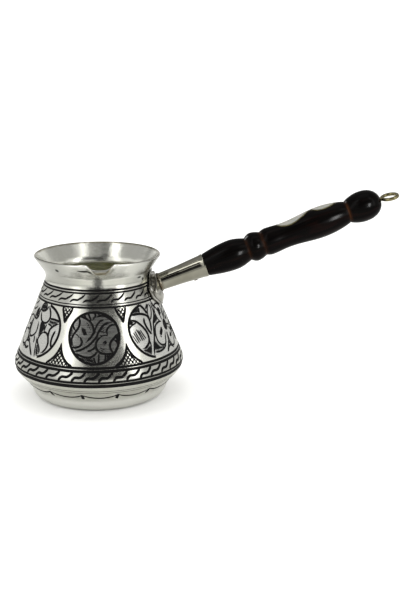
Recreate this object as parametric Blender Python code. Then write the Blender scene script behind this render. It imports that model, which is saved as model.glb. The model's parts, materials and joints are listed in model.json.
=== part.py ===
"""A Turkish coffee pot (cezve): a metal pot with a pressed spout, and a turned handle on a bracket.

Metres, +Z up. The origin is the centre of the underside and Z is the pot's axis. The handle points
towards +X and rises, and the spout faces -Y. Everything on the handle is modelled along an axis of
its own, which starts at the small end of the ferrule; on that axis local -X is the top of the handle.
"""

import math

import bmesh
import bpy
import numpy as np
from mathutils import Matrix, Vector

MM = 0.001
GAP = 0.3 * MM  # clearance between neighbouring pieces

# The pot: outer corners as (radius, height, fillet radius), from the underside to the lip.
WALL = 1.4 * MM
FOOT = (35.6 * MM, 0.0, 5.2 * MM)
KINK = (35.7 * MM, 5.75 * MM, 1.2 * MM)
SHOULDER = (45.42 * MM, 17.08 * MM, 6.5 * MM)
NECK = (26.14 * MM, 64.35 * MM, 6.0 * MM)
LIP = (32.35 * MM, 73.5 * MM, 0.0)
ARC_STEP = math.radians(20)  # the turn of one facet in a fillet
RIM_STEPS = 4
NECK_CLEAR = NECK[0] / 2  # everything of the lip lies further out than this
COLUMNS = 64
FINE_STEPS = 3  # a coarse column is split into this many near the spout
FINE_COLUMNS = 3  # coarse columns split, each side of the spout

# The spout: a channel pressed out of the lip, with its edge curled outwards and down.
SPOUT_AZIMUTH = math.radians(-88)
SPOUT_HALF_WIDTH = 7.3 * MM
SPOUT_FLAT = 0.22  # the share of the half width that is the channel's even floor
SPOUT_BOTTOM = 66.0 * MM
SPOUT_REACH = 1.4 * MM
SPOUT_CURL = math.radians(100)
SPOUT_CURL_LENGTH = 4.0 * MM  # down the wall, from the lip
SPOUT_CURL_ROWS = 5
SPOUT_SHOULDER = 0.3 * MM

# The handle's axis.
HANDLE_START = Vector((31.7 * MM, 0, 58.3 * MM))
HANDLE_RISE = math.radians(19.9)

# The bracket: outlines as (half width along the wall, height, fillet radius).
PLATE_OUTLINE = (
    (0.0, 47.0 * MM, 0.0),
    (9.6 * MM, 48.6 * MM, 3.0 * MM),
    (14.8 * MM, 53.4 * MM, 3.0 * MM),
    (14.6 * MM, 58.0 * MM, 2.0 * MM),
    (8.8 * MM, 62.0 * MM, 2.5 * MM),
    (7.4 * MM, 66.4 * MM, 2.0 * MM),
    (0.0, 66.4 * MM, 0.0),
)
BOSS_OUTLINE = (
    (0.0, 47.4 * MM, 0.0),
    (8.0 * MM, 49.6 * MM, 4.0 * MM),
    (13.4 * MM, 54.8 * MM, 3.5 * MM),
    (5.2 * MM, 62.0 * MM, 2.0 * MM),
    (4.6 * MM, 63.6 * MM, 0.5 * MM),
    (0.0, 63.6 * MM, 0.0),
)
PLATE_THICKNESS = 0.9 * MM
PLATE_ROWS = 20
PLATE_COLUMNS = 19
PLATE_TIP = 2.0 * MM  # least half width, at the plate's ends
BOSS_EDGE = 0.7 * MM  # the step at the boss's edge
BOSS_CROWN = 2.2 * MM  # how far its middle rises above that step, at its thickest
BOSS_THICKEST = 56.0 * MM
COLLAR_RADIUS = 5.2 * MM  # a round seat for the ferrule
SEAT_RADIUS = 7.0 * MM

# The rivets through the bracket's wings.
RIVET_AZIMUTH = math.radians(25.2)
RIVET_HEIGHT = 57.4 * MM
RIVET_SHANK_RADIUS = 0.9 * MM
RIVET_HEAD_RADIUS = 1.5 * MM
RIVET_HEAD_HEIGHT = 0.8 * MM
RIVET_INNER_HEAD = 0.6 * MM

# The ferrule: (distance along the handle, outer radius).
FERRULE_OUTLINE = (
    (0.0, 4.55 * MM),
    (12.0 * MM, 5.05 * MM),
    (24.0 * MM, 5.95 * MM),
    (25.2 * MM, 6.2 * MM),
    (26.0 * MM, 6.25 * MM),
)
FERRULE_WALL = 0.9 * MM

# The grip's turning: (distance, radius, fullness of the curve that leads there from the point before).
# "crest" is a rounded high or low point, "groove" is a sharp cut.
TURNING = (
    (26.3 * MM, 6.0 * MM, "groove", 1.0),
    (41.5 * MM, 8.05 * MM, "crest", 1.0),
    (50.0 * MM, 6.1 * MM, "groove", 1.0),
    (53.6 * MM, 7.75 * MM, "crest", 1.0),
    (58.6 * MM, 6.4 * MM, "groove", 1.0),
    (62.0 * MM, 7.28 * MM, "crest", 1.0),
    (71.5 * MM, 6.75 * MM, "crest", 1.0),
    (91.0 * MM, 8.2 * MM, "crest", 1.0),
    (106.2 * MM, 5.7 * MM, "groove", 0.75),
    (114.8 * MM, 8.25 * MM, "crest", 0.75),
)
KNOB_END = 124.9 * MM
KNOB_FULLNESS = 2.2
STEPS_PER_TURN = 5
GRIP_SIDES = 28
TENON_START = 7.0 * MM

# The inlay on the top of the grip: two leaves (start, end, half width), tip to tip, each a plate with a wire
# round it. Their widest place lies before the middle, by LEAF_LEAN of the half length.
FRONT_LEAF = (68.2 * MM, 86.1 * MM, 4.0 * MM)
REAR_LEAF = (88.6 * MM, 101.0 * MM, 3.7 * MM)
LEAF_LEAN = 0.16
WIRE_WIDTH = 0.6 * MM
INLAY_DEPTH = 1.4 * MM
INLAY_PROUD = 0.05 * MM
POCKET_TOP = 0.5 * MM  # how far the pocket's cutter stands out of the wood
LEAF_STEPS = 12
LEAF_COLUMNS = 7
LEAF_TIP = 0.12 * MM  # least half width, at a leaf's tips

# The nail under the ferrule.
NAIL_DISTANCE = 19.0 * MM
NAIL_SHANK_RADIUS = 0.6 * MM
NAIL_HEAD_RADIUS = 1.2 * MM
NAIL_HEAD_HEIGHT = 0.35 * MM
NAIL_LENGTH = 4.4 * MM

# The screw eye.
EYE_CENTRE = 130.15 * MM
EYE_RADIUS = 4.2 * MM
EYE_WIRE_RADIUS = 0.95 * MM
EYE_TWIST = math.radians(7)
EYE_BEND = math.radians(5)  # the ring droops this far from the shank's line
EYE_SHANK_START = 112.0 * MM


def clear_scene():
    for thing in list(bpy.data.objects):
        bpy.data.objects.remove(thing, do_unlink=True)


def material(name, colour, roughness, metallic):
    made = bpy.data.materials.new(name)
    made.use_nodes = True
    shader = made.node_tree.nodes["Principled BSDF"]
    shader.inputs["Base Color"].default_value = (*colour, 1)
    shader.inputs["Roughness"].default_value = roughness
    shader.inputs["Metallic"].default_value = metallic
    made.diffuse_color = (*colour, 1)
    return made


def add_object(name, bm, look, parent=None):
    """The bmesh as an object, facing out, smooth on its round faces."""
    bmesh.ops.recalc_face_normals(bm, faces=bm.faces)
    mesh = bpy.data.meshes.new(name)
    bm.to_mesh(mesh)
    bm.free()
    mesh.shade_smooth()
    mesh.set_sharp_from_angle(angle=math.radians(35))
    mesh.materials.append(look)
    made = bpy.data.objects.new(name, mesh)
    bpy.context.collection.objects.link(made)
    made.parent = parent
    return made


def cut(target, cutter):
    """Takes the cutter's shape out of the target."""
    cutter.hide_render = True
    cutter.display_type = "WIRE"
    modifier = target.modifiers.new(cutter.name, "BOOLEAN")
    modifier.operation = "DIFFERENCE"
    modifier.object = cutter


# ---- outlines ------------------------------------------------------------------------------------


def filleted(corners, arc_step=ARC_STEP):
    """(x, y) points along the corners (x, y, fillet radius), with an arc at each fillet."""
    points = []
    for index, (x, y, radius) in enumerate(corners):
        if radius == 0 or index in (0, len(corners) - 1):
            points.append((x, y))
            continue
        corner = Vector((x, y))
        before = (Vector(corners[index - 1][:2]) - corner).normalized()
        after = (Vector(corners[index + 1][:2]) - corner).normalized()
        half = before.angle(after) / 2
        centre = corner + (before + after).normalized() * radius / math.sin(half)
        start = corner + before * radius / math.tan(half) - centre
        turn = start.angle_signed(corner + after * radius / math.tan(half) - centre)
        steps = max(2, round(abs(turn) / arc_step))
        for step in range(steps + 1):
            spoke = Matrix.Rotation(-turn * step / steps, 2) @ start
            points.append(tuple(centre + spoke))
    return points


def offset_line(first, second, distance):
    """The line through two (x, y) points, moved to its left by the distance, as a point and a direction."""
    along = (Vector(second) - Vector(first)).normalized()
    return Vector(first) + Vector((-along.y, along.x)) * distance, along


def crossing(line, other):
    """Where two (point, direction) lines cross."""
    (start, along), (base, across) = line, other
    reach = (base - start).cross(across) / along.cross(across)
    return start + along * reach


def pot_corners():
    """The corners of the outside, from the underside to the lip, and of the inside, from the floor up."""
    outer = [(0.0, 0.0, 0.0), FOOT, KINK, SHOULDER, NECK, LIP]
    lines = [offset_line(a[:2], b[:2], WALL) for a, b in zip(outer, outer[1:])]
    inner = []
    for (_, _, radius), line, following in zip(outer[1:], lines, lines[1:]):
        x, y = crossing(line, following)
        hollow = line[1].cross(following[1]) < 0
        inner.append((x, y, radius + WALL if hollow else max(radius - WALL, 0.0)))
    top = Vector(LIP[:2]) + Vector((-lines[-1][1].y, lines[-1][1].x)) * WALL
    inner.append((*top, 0.0))
    return outer, [(0.0, WALL, 0.0), *inner]


def with_curl_rows(line):
    """An outline that ends at the lip, with points put in where the spout's edge is curled."""
    lip = Vector(line[-1])
    down = (Vector(line[-2]) - lip).normalized() * SPOUT_CURL_LENGTH
    rows = [tuple(lip + down * (1 - row / SPOUT_CURL_ROWS)) for row in range(SPOUT_CURL_ROWS)]
    return line[:-1] + rows + line[-1:]


def pot_outline():
    """(radius, height) from the centre of the underside, over the rim, to the centre of the floor."""
    outer, inner = pot_corners()
    outside = with_curl_rows(filleted(outer))
    inside = with_curl_rows(filleted(inner))
    middle = (Vector(outside[-1]) + Vector(inside[-1])) / 2
    start = Vector(outside[-1]) - middle
    turns = [math.pi * step / RIM_STEPS for step in range(1, RIM_STEPS)]
    rim = [tuple(middle + Matrix.Rotation(turn, 2) @ start) for turn in turns]
    return outside + rim + inside[::-1]


def wall_radius(height):
    """The pot's outer radius at a height above its foot."""
    outer = filleted([FOOT, KINK, SHOULDER, NECK, LIP], ARC_STEP / 3)
    return float(np.interp(height, [z for _, z in outer], [r for r, _ in outer]))


def wall_lean(height, step=0.5 * MM):
    """The angle that the outer wall leans out at a height."""
    return math.atan((wall_radius(height + step) - wall_radius(height - step)) / (2 * step))


def half_width(outline, height):
    """An outline's half width at a height."""
    points = filleted(outline)
    return float(np.interp(height, [y for _, y in points], [x for x, _ in points]))


def eased(share, before, after, fullness):
    """How far a turned curve has come, 0 to 1, at a share of the way between two of its points."""
    if before == after == "crest":
        return (1 - math.cos(math.pi * share)) / 2
    if before == "groove":
        return math.sin(math.pi / 2 * share) ** fullness
    return 1 - math.sin(math.pi / 2 * (1 - share)) ** fullness


def grip_outline():
    """(distance, radius) along the grip's turned outside, from the ferrule's mouth to the knob's end."""
    points = [TURNING[0][:2]]
    for before, after in zip(TURNING, TURNING[1:]):
        for step in range(1, STEPS_PER_TURN + 1):
            share = step / STEPS_PER_TURN
            done = eased(share, before[2], after[2], after[3])
            distance = before[0] + (after[0] - before[0]) * share
            points.append((distance, before[1] + (after[1] - before[1]) * done))
    start, radius = TURNING[-1][:2]
    for step in range(1, STEPS_PER_TURN):
        turn = math.pi / 2 * step / STEPS_PER_TURN
        reach = math.sin(turn) ** (2 / KNOB_FULLNESS)
        points.append((start + (KNOB_END - start) * reach, radius * math.cos(turn) ** (2 / KNOB_FULLNESS)))
    points.append((KNOB_END, 0.0))
    return points


GRIP_OUTLINE = grip_outline()


def grip_radius(distance):
    """The grip's radius at a distance along the handle."""
    return float(np.interp(distance, [d for d, _ in GRIP_OUTLINE], [r for _, r in GRIP_OUTLINE]))


# ---- bodies --------------------------------------------------------------------------------------


def even_angles(count):
    return [2 * math.pi * index / count for index in range(count)]


def pot_angles():
    """Even columns round the pot, split finer near the spout."""
    coarse = 2 * math.pi / COLUMNS
    spout_column = round(SPOUT_AZIMUTH / coarse)
    angles = []
    for column in range(COLUMNS):
        away = (column - spout_column + COLUMNS // 2) % COLUMNS - COLUMNS // 2
        steps = FINE_STEPS if -FINE_COLUMNS <= away < FINE_COLUMNS else 1
        angles += [(column + step / steps) * coarse for step in range(steps)]
    return angles


def lathe(outline, angles):
    """A solid turned about Z from (radius, height) points. A radius of 0 closes the solid on the axis."""
    bm = bmesh.new()
    rings = []
    for radius, height in outline:
        around = angles if radius > 0 else angles[:1]
        rings.append([bm.verts.new((radius * math.cos(a), radius * math.sin(a), height)) for a in around])
    for lower, upper in zip(rings, rings[1:]):
        for index in range(len(angles)):
            following = (index + 1) % len(angles)
            corners = [lower[index % len(lower)], lower[following % len(lower)]]
            corners += [upper[following % len(upper)], upper[index % len(upper)]]
            bm.faces.new(list(dict.fromkeys(corners)))
    return bm


def tube(outline, angles):
    """A ring turned about Z from a closed loop of (radius, height) points."""
    bm = bmesh.new()
    rings = [[bm.verts.new((r * math.cos(a), r * math.sin(a), h)) for a in angles] for r, h in outline]
    join_rings(bm, rings + rings[:1])
    return bm


def join_rings(bm, rings):
    """Faces between each ring of vertices and the next."""
    for lower, upper in zip(rings, rings[1:]):
        for index in range(len(lower)):
            following = (index + 1) % len(lower)
            bm.faces.new((lower[index], lower[following], upper[following], upper[index]))


def slab(surface, rows, columns):
    """A closed slab between two skins of a grid, from surface(row, column, side), side 0 or 1."""
    bm = bmesh.new()
    skins = [
        [[bm.verts.new(surface(row, column, side)) for column in range(columns)] for row in range(rows)]
        for side in (0, 1)
    ]
    for skin in skins:
        for row in range(rows - 1):
            for column in range(columns - 1):
                near = skin[row]
                far = skin[row + 1]
                bm.faces.new((near[column], near[column + 1], far[column + 1], far[column]))
    border = [(0, column) for column in range(columns)]
    border += [(row, columns - 1) for row in range(1, rows)]
    border += [(rows - 1, column) for column in range(columns - 2, -1, -1)]
    border += [(row, 0) for row in range(rows - 2, 0, -1)]
    join_rings(bm, [[skin[row][column] for row, column in border] for skin in skins])
    return bm


def fastener(sections, sides=16):
    """A rivet or nail turned about Z from (radius, height) points, closed at both ends."""
    ends = [(0.0, sections[0][1]), *sections, (0.0, sections[-1][1])]
    return lathe(ends, even_angles(sides))


def domed(radius, base, height, steps=3):
    """(radius, height) points of a domed head, from its rim almost to its top."""
    turns = [math.pi / 2 * step / (steps + 1) for step in range(steps + 1)]
    return [(radius * math.cos(turn), base + height * math.sin(turn)) for turn in turns]


# ---- the pot -------------------------------------------------------------------------------------


def curled(place, turn):
    """A point (radius, height) of the flared wall, once its edge is curled outwards by an angle."""
    up = (Vector(LIP[:2]) - Vector(NECK[:2])).normalized()
    out = Vector((up.y, -up.x))
    from_lip = place - Vector(LIP[:2])
    beyond = from_lip.dot(up) + SPOUT_CURL_LENGTH
    aside = from_lip.dot(out) + WALL / 2  # from the middle of the wall
    if beyond <= 0 or turn < 1e-3:
        return place
    bend_radius = SPOUT_CURL_LENGTH / turn
    reached = beyond / bend_radius
    start = place - up * beyond - out * aside
    arm = bend_radius - aside
    return start + up * arm * math.sin(reached) + out * (bend_radius - arm * math.cos(reached))


def pressed(point):
    """A point of the lip, moved as the spout is pressed out of it."""
    radius = math.hypot(point.x, point.y)
    if point.z < SPOUT_BOTTOM or radius < NECK_CLEAR:
        return point
    azimuth = math.atan2(point.y, point.x)
    across = abs(azimuth - SPOUT_AZIMUTH) * radius / SPOUT_HALF_WIDTH
    up = (point.z - SPOUT_BOTTOM) / (LIP[1] - SPOUT_BOTTOM)
    side = min(max((1 - across) / (1 - SPOUT_FLAT), 0), 1)
    channel = side**2 * (3 - 2 * side)
    shoulder = math.exp(-(((across - 1.15) / 0.35) ** 2))
    place = curled(Vector((radius, point.z)), SPOUT_CURL * channel)
    place += Vector((SPOUT_REACH * channel * up**1.3, SPOUT_SHOULDER * shoulder * up**2))
    return Vector((place.x * math.cos(azimuth), place.x * math.sin(azimuth), place.y))


def build_pot(look):
    bm = lathe(pot_outline(), pot_angles())
    for vertex in bm.verts:
        vertex.co = pressed(vertex.co)
    return add_object("pot_body", bm, look)


# ---- the bracket and its rivets ------------------------------------------------------------------


def seated(point):
    """A point of the bracket's front, drawn to the flat seat of the ferrule: up to it inside the
    collar, and never past it close to the collar."""
    along = Vector((math.cos(HANDLE_RISE), 0, math.sin(HANDLE_RISE)))
    offset = point - HANDLE_START
    distance = offset.dot(along)
    aside = (offset - along * distance).length
    over = distance + GAP
    if aside < COLLAR_RADIUS or (aside < SEAT_RADIUS and over > 0):
        return point - along * over
    return point


def bracket_thickness(across, height):
    """The casting's thickness: a thin plate, with a boss that is crowned across and thins out downwards."""
    width = half_width(BOSS_OUTLINE, height)
    if abs(across) >= width:
        return PLATE_THICKNESS
    low = BOSS_OUTLINE[0][1]
    rise = min((height - low) / (BOSS_THICKEST - low), 1)
    crown = math.sin(math.pi / 2 * rise) * math.sqrt(1 - (across / width) ** 2)
    return PLATE_THICKNESS + BOSS_EDGE * min(3 * rise, 1) + BOSS_CROWN * crown


def build_bracket(look):
    low, high = PLATE_OUTLINE[0][1], PLATE_OUTLINE[-1][1]

    def surface(row, column, side):
        height = low + (high - low) * row / (PLATE_ROWS - 1)
        width = max(half_width(PLATE_OUTLINE, height), PLATE_TIP)
        across = width * (2 * column / (PLATE_COLUMNS - 1) - 1)
        wall = wall_radius(height)
        lean = wall_lean(height)
        out = GAP + bracket_thickness(across, height) * side
        radius = wall + out * math.cos(lean)
        azimuth = across / wall
        drop = out * math.sin(lean)
        point = Vector((radius * math.cos(azimuth), radius * math.sin(azimuth), height - drop))
        return seated(point) if side else point

    return add_object("handle_bracket", slab(surface, PLATE_ROWS, PLATE_COLUMNS), look)


def rivet_frame(side):
    """The place of a rivet: its origin on the pot's outer wall, its Z straight out of the wall."""
    azimuth = side * RIVET_AZIMUTH
    wall = wall_radius(RIVET_HEIGHT)
    lean = wall_lean(RIVET_HEIGHT)
    out = Vector((math.cos(azimuth) * math.cos(lean), math.sin(azimuth) * math.cos(lean), -math.sin(lean)))
    place = Matrix.Translation((wall * math.cos(azimuth), wall * math.sin(azimuth), RIVET_HEIGHT))
    return place @ out.to_track_quat("Z", "Y").to_matrix().to_4x4()


def build_rivets(look, pot, bracket):
    inside = -WALL - GAP
    outside = GAP + PLATE_THICKNESS + GAP
    profile = [
        (RIVET_HEAD_RADIUS, inside - RIVET_INNER_HEAD),
        (RIVET_HEAD_RADIUS, inside),
        (RIVET_SHANK_RADIUS, inside),
        (RIVET_SHANK_RADIUS, outside),
        *domed(RIVET_HEAD_RADIUS, outside, RIVET_HEAD_HEIGHT),
    ]
    hole_radius = RIVET_SHANK_RADIUS + GAP
    hole = [(hole_radius, inside - 2 * GAP), (hole_radius, outside + RIVET_HEAD_HEIGHT)]
    for name, side in (("rivet_left", -1), ("rivet_right", 1)):
        rivet = add_object(name, fastener(profile), look)
        rivet.matrix_world = rivet_frame(side)
        cutter = add_object(name + "_hole", fastener(hole), look)
        cutter.matrix_world = rivet_frame(side)
        cut(pot, cutter)
        cut(bracket, cutter)


# ---- the handle ----------------------------------------------------------------------------------


def handle_axis():
    """An empty whose Z runs along the handle, and whose -X is the handle's top."""
    axis = bpy.data.objects.new("handle_axis", None)
    lean = Matrix.Rotation(math.pi / 2 - HANDLE_RISE, 4, "Y")
    axis.matrix_world = Matrix.Translation(HANDLE_START) @ lean
    bpy.context.collection.objects.link(axis)
    return axis


def build_ferrule(look, axis):
    outside = [(radius, distance) for distance, radius in FERRULE_OUTLINE]
    inside = [(radius - FERRULE_WALL, distance) for radius, distance in reversed(outside)]
    return add_object("ferrule", tube(outside + inside, even_angles(GRIP_SIDES)), look, axis)


def ferrule_radius(distance):
    return float(np.interp(distance, [d for d, _ in FERRULE_OUTLINE], [r for _, r in FERRULE_OUTLINE]))


def build_grip(look, axis):
    mouth = FERRULE_OUTLINE[-1][0]
    clearance = FERRULE_WALL + GAP
    outline = [(0.0, TENON_START), (ferrule_radius(TENON_START) - clearance, TENON_START)]
    outline += [(ferrule_radius(d) - clearance, d) for d in (FERRULE_OUTLINE[2][0], mouth + GAP)]
    outline += [(radius, distance) for distance, radius in GRIP_OUTLINE]
    return add_object("handle_grip", lathe(outline, even_angles(GRIP_SIDES)), look, axis)


def build_nail(look, axis, ferrule, grip):
    """The nail goes in from below, so its Z points out along the handle's local +X."""
    surface = ferrule_radius(NAIL_DISTANCE)
    profile = [(NAIL_SHANK_RADIUS, -NAIL_LENGTH), (NAIL_SHANK_RADIUS, GAP)]
    profile += domed(NAIL_HEAD_RADIUS, GAP, NAIL_HEAD_HEIGHT)
    hole = [(NAIL_SHANK_RADIUS + GAP, -NAIL_LENGTH - GAP), (NAIL_SHANK_RADIUS + GAP, NAIL_HEAD_HEIGHT)]
    place = Matrix.Translation((surface, 0, NAIL_DISTANCE)) @ Matrix.Rotation(math.pi / 2, 4, "Y")
    nail = add_object("ferrule_nail", fastener(profile, 12), look, axis)
    cutter = add_object("nail_hole", fastener(hole, 12), look, axis)
    nail.matrix_local = place
    cutter.matrix_local = place
    cut(ferrule, cutter)
    cut(grip, cutter)


def on_grip(across, distance, height):
    """A point above the top of the grip: across along its surface, at a height over the wood."""
    surface = grip_radius(distance)
    turn = across / surface
    radius = surface + height
    return Vector((-radius * math.cos(turn), radius * math.sin(turn), distance))


def leaf_point(leaf, grow, step, side):
    """A point (across, distance) of a pointed leaf's edge, grown by a margin: two arcs that meet."""
    start, end, full_width = leaf
    half_length = (end - start) / 2
    arc_radius = (half_length**2 + full_width**2) / (2 * full_width)
    depth = arc_radius - full_width
    reach = math.acos(depth / (arc_radius + grow))
    turn = reach * (2 * step / LEAF_STEPS - 1)
    width = (arc_radius + grow) * math.cos(turn) - depth
    along = (arc_radius + grow) * math.sin(turn) / half_length
    return side * width, (start + end) / 2 + half_length * (along - LEAF_LEAN * (1 - along**2))


def leaf_slab(leaf, grow, low, high):
    """A leaf-shaped plate that follows the grip's surface, with tips cut just blunt."""

    def surface(row, column, side):
        width, distance = leaf_point(leaf, grow, row, 1)
        across = max(width, LEAF_TIP) * (2 * column / (LEAF_COLUMNS - 1) - 1)
        return on_grip(across, distance, high if side else low)

    return slab(surface, LEAF_STEPS + 1, LEAF_COLUMNS)


def leaf_wire(leaf, inner, outer, low, high):
    """A flat wire bent round the leaf's outline, set on edge in the wood."""
    loop = [(step, 1) for step in range(LEAF_STEPS)] + [(step, -1) for step in range(LEAF_STEPS, 0, -1)]
    section = ((inner, low), (inner, high), (outer, high), (outer, low))
    bm = bmesh.new()
    rings = []
    for step, side in loop:
        corners = [(leaf_point(leaf, grow, step, side), height) for grow, height in section]
        rings.append([bm.verts.new(on_grip(*edge, height)) for edge, height in corners])
    join_rings(bm, rings + rings[:1])
    return bm


def build_inlay(name, leaf, pearl_look, wire_look, axis, grip):
    """A pearl plate and its wire, let into a pocket in the grip."""
    inner = GAP
    outer = GAP + WIRE_WIDTH
    add_object("pearl_inlay_" + name, leaf_slab(leaf, 0, -INLAY_DEPTH, INLAY_PROUD), pearl_look, axis)
    wire = leaf_wire(leaf, inner, outer, -INLAY_DEPTH, INLAY_PROUD)
    add_object("inlay_wire_" + name, wire, wire_look, axis)
    pocket = leaf_slab(leaf, outer + GAP, -INLAY_DEPTH - GAP, POCKET_TOP)
    cut(grip, add_object("inlay_pocket_" + name, pocket, pearl_look, axis))


def build_eye(look, axis, grip):
    """A screw eye: a ring of wire with a plain shank, turned a little about the handle's axis."""
    shank_end = EYE_CENTRE - EYE_RADIUS
    shank = fastener([(EYE_WIRE_RADIUS, EYE_SHANK_START), (EYE_WIRE_RADIUS, shank_end)])
    eye = add_object("hanging_eye", shank, look, axis)
    wire = [
        (EYE_RADIUS + EYE_WIRE_RADIUS * math.cos(a), EYE_WIRE_RADIUS * math.sin(a))
        for a in even_angles(10)
    ]
    ring_bm = tube(wire, even_angles(28))
    upright = Matrix.Rotation(math.pi / 2, 4, "Y")
    droop = Matrix.Rotation(EYE_BEND, 4, "Y")
    neck = Matrix.Translation((0, 0, shank_end))
    ring_bm.transform(neck @ droop @ Matrix.Translation((0, 0, EYE_RADIUS)) @ upright)
    ring = add_object("eye_ring", ring_bm, look, axis)
    ring.hide_render = True
    ring.display_type = "WIRE"
    joined = eye.modifiers.new("ring", "BOOLEAN")
    joined.operation = "UNION"
    joined.object = ring
    for piece in (eye, ring):
        piece.rotation_euler.z = EYE_TWIST
    hole = [(EYE_WIRE_RADIUS + GAP, EYE_SHANK_START - GAP), (EYE_WIRE_RADIUS + GAP, KNOB_END + GAP)]
    cut(grip, add_object("eye_hole", fastener(hole), look, axis))


def build():
    clear_scene()
    silver = material("silver_plate", (0.62, 0.61, 0.57), 0.22, 1.0)
    cast_silver = material("cast_silver", (0.55, 0.54, 0.50), 0.30, 1.0)
    nickel = material("nickel_plate", (0.46, 0.44, 0.38), 0.28, 1.0)
    wood = material("dark_wood", (0.012, 0.009, 0.008), 0.18, 0.0)
    pearl = material("mother_of_pearl", (0.55, 0.55, 0.54), 0.25, 0.0)
    brass = material("brass", (0.50, 0.38, 0.18), 0.30, 1.0)

    pot = build_pot(silver)
    bracket = build_bracket(cast_silver)
    build_rivets(cast_silver, pot, bracket)
    axis = handle_axis()
    ferrule = build_ferrule(nickel, axis)
    grip = build_grip(wood, axis)
    build_nail(nickel, axis, ferrule, grip)
    build_inlay("front", FRONT_LEAF, pearl, brass, axis, grip)
    build_inlay("rear", REAR_LEAF, pearl, brass, axis, grip)
    build_eye(brass, axis, grip)


build()
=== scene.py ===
import json
import math
import random

import bmesh
import bpy
import numpy as np
from mathutils import Matrix, Vector, geometry, noise


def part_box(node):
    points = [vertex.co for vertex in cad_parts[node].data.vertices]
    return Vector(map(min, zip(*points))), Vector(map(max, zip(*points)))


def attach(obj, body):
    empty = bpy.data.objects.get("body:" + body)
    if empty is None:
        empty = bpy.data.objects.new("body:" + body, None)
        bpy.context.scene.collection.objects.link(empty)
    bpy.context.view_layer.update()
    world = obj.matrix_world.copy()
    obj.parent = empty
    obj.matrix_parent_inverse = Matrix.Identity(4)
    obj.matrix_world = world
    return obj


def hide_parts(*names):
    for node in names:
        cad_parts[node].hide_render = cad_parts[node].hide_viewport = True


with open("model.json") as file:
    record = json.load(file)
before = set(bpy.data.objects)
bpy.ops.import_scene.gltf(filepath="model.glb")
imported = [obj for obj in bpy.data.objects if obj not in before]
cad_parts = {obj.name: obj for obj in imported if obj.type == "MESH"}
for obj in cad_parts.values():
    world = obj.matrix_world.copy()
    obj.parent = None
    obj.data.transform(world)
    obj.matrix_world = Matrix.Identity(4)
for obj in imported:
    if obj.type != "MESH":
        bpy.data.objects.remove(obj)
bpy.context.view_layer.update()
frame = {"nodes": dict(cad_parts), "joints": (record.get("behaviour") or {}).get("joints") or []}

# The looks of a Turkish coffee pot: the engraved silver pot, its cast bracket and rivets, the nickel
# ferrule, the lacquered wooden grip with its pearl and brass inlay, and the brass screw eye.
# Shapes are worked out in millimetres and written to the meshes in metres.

random.seed(7)
MM = 0.001

# ---- sizes, as in the CAD model (mm) -------------------------------------------------------------

WALL = 1.4
FOOT = (35.6, 0.0, 5.2)  # corners of the outside as (radius, height, fillet radius)
KINK = (35.7, 5.75, 1.2)
SHOULDER = (45.42, 17.08, 6.5)
NECK = (26.14, 64.35, 6.0)
LIP = (32.35, 73.5, 0.0)
OUTSIDE = ((0.0, 0.0, 0.0), FOOT, KINK, SHOULDER, NECK, LIP)
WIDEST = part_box("pot_body")[1].y / MM
COLUMNS = 240  # of the mesh, round the pot

SPOUT_AZIMUTH = math.radians(-88)
SPOUT_HALF_WIDTH = 7.3
SPOUT_FLAT = 0.22
SPOUT_BOTTOM = 66.0
SPOUT_REACH = 1.4
SPOUT_CURL = math.radians(100)
SPOUT_CURL_LENGTH = 4.0
SPOUT_SHOULDER = 0.3

GAP = 0.3
TURNING = (  # crests and grooves of the grip, as (distance, radius, kind, fullness)
    (26.3, 6.0, "groove", 1.0),
    (41.5, 8.05, "crest", 1.0),
    (50.0, 6.1, "groove", 1.0),
    (53.6, 7.75, "crest", 1.0),
    (58.6, 6.4, "groove", 1.0),
    (62.0, 7.28, "crest", 1.0),
    (71.5, 6.75, "crest", 1.0),
    (91.0, 8.2, "crest", 1.0),
    (106.2, 5.7, "groove", 0.75),
    (114.8, 8.16, "crest", 0.75),
)
KNOB_END = 124.9
KNOB_FULLNESS = 2.2
TENON_START = 7.0
BORE_END = 111.8  # the bottom of the hole for the screw eye
FERRULE_OUTLINE = ((0.0, 4.55), (12.0, 5.05), (24.0, 5.95), (25.2, 6.2), (26.0, 6.25))
FERRULE_WALL = 0.9
FRONT_LEAF = (68.2, 86.1, 4.0)  # start, end, half width
REAR_LEAF = (88.6, 101.0, 3.7)
LEAF_LEAN = 0.16
WIRE_WIDTH = 0.6
INLAY_DEPTH = 1.4
INLAY_PROUD = 0.05
EYE_RADIUS = 4.2
EYE_WIRE_RADIUS = 0.93
EYE_TWIST = math.radians(7)
EYE_BEND = math.radians(5)
EYE_SHANK_START = 112.2
EYE_THREAD_PITCH = 1.1
EYE_RING_ENDS = (8, 350)  # where the ring starts and ends, in degrees from the shank

# ---- the handle's axis, from the joint of the screw eye ------------------------------------------

joint = frame["joints"][0]
axis_point = Vector(joint["pos_m"]) / MM
axis_along = Vector(joint["axis"]).normalized()


def along_handle(node):
    """The lowest and highest distance of a CAD node along the handle's axis, from the joint's point."""
    reach = [(v.co / MM - axis_point).dot(axis_along) for v in frame["nodes"][node].data.vertices]
    return min(reach), max(reach)


handle_start = axis_point + axis_along * along_handle("ferrule")[0]
EYE_CENTRE = along_handle("hanging_eye")[1] - along_handle("ferrule")[0] - EYE_RADIUS - 0.95
HANDLE = (
    Matrix.Translation(handle_start)
    @ Matrix.Rotation(math.pi / 2 - math.asin(axis_along.z), 4, "Y")
)

# ---- outlines ------------------------------------------------------------------------------------


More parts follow.
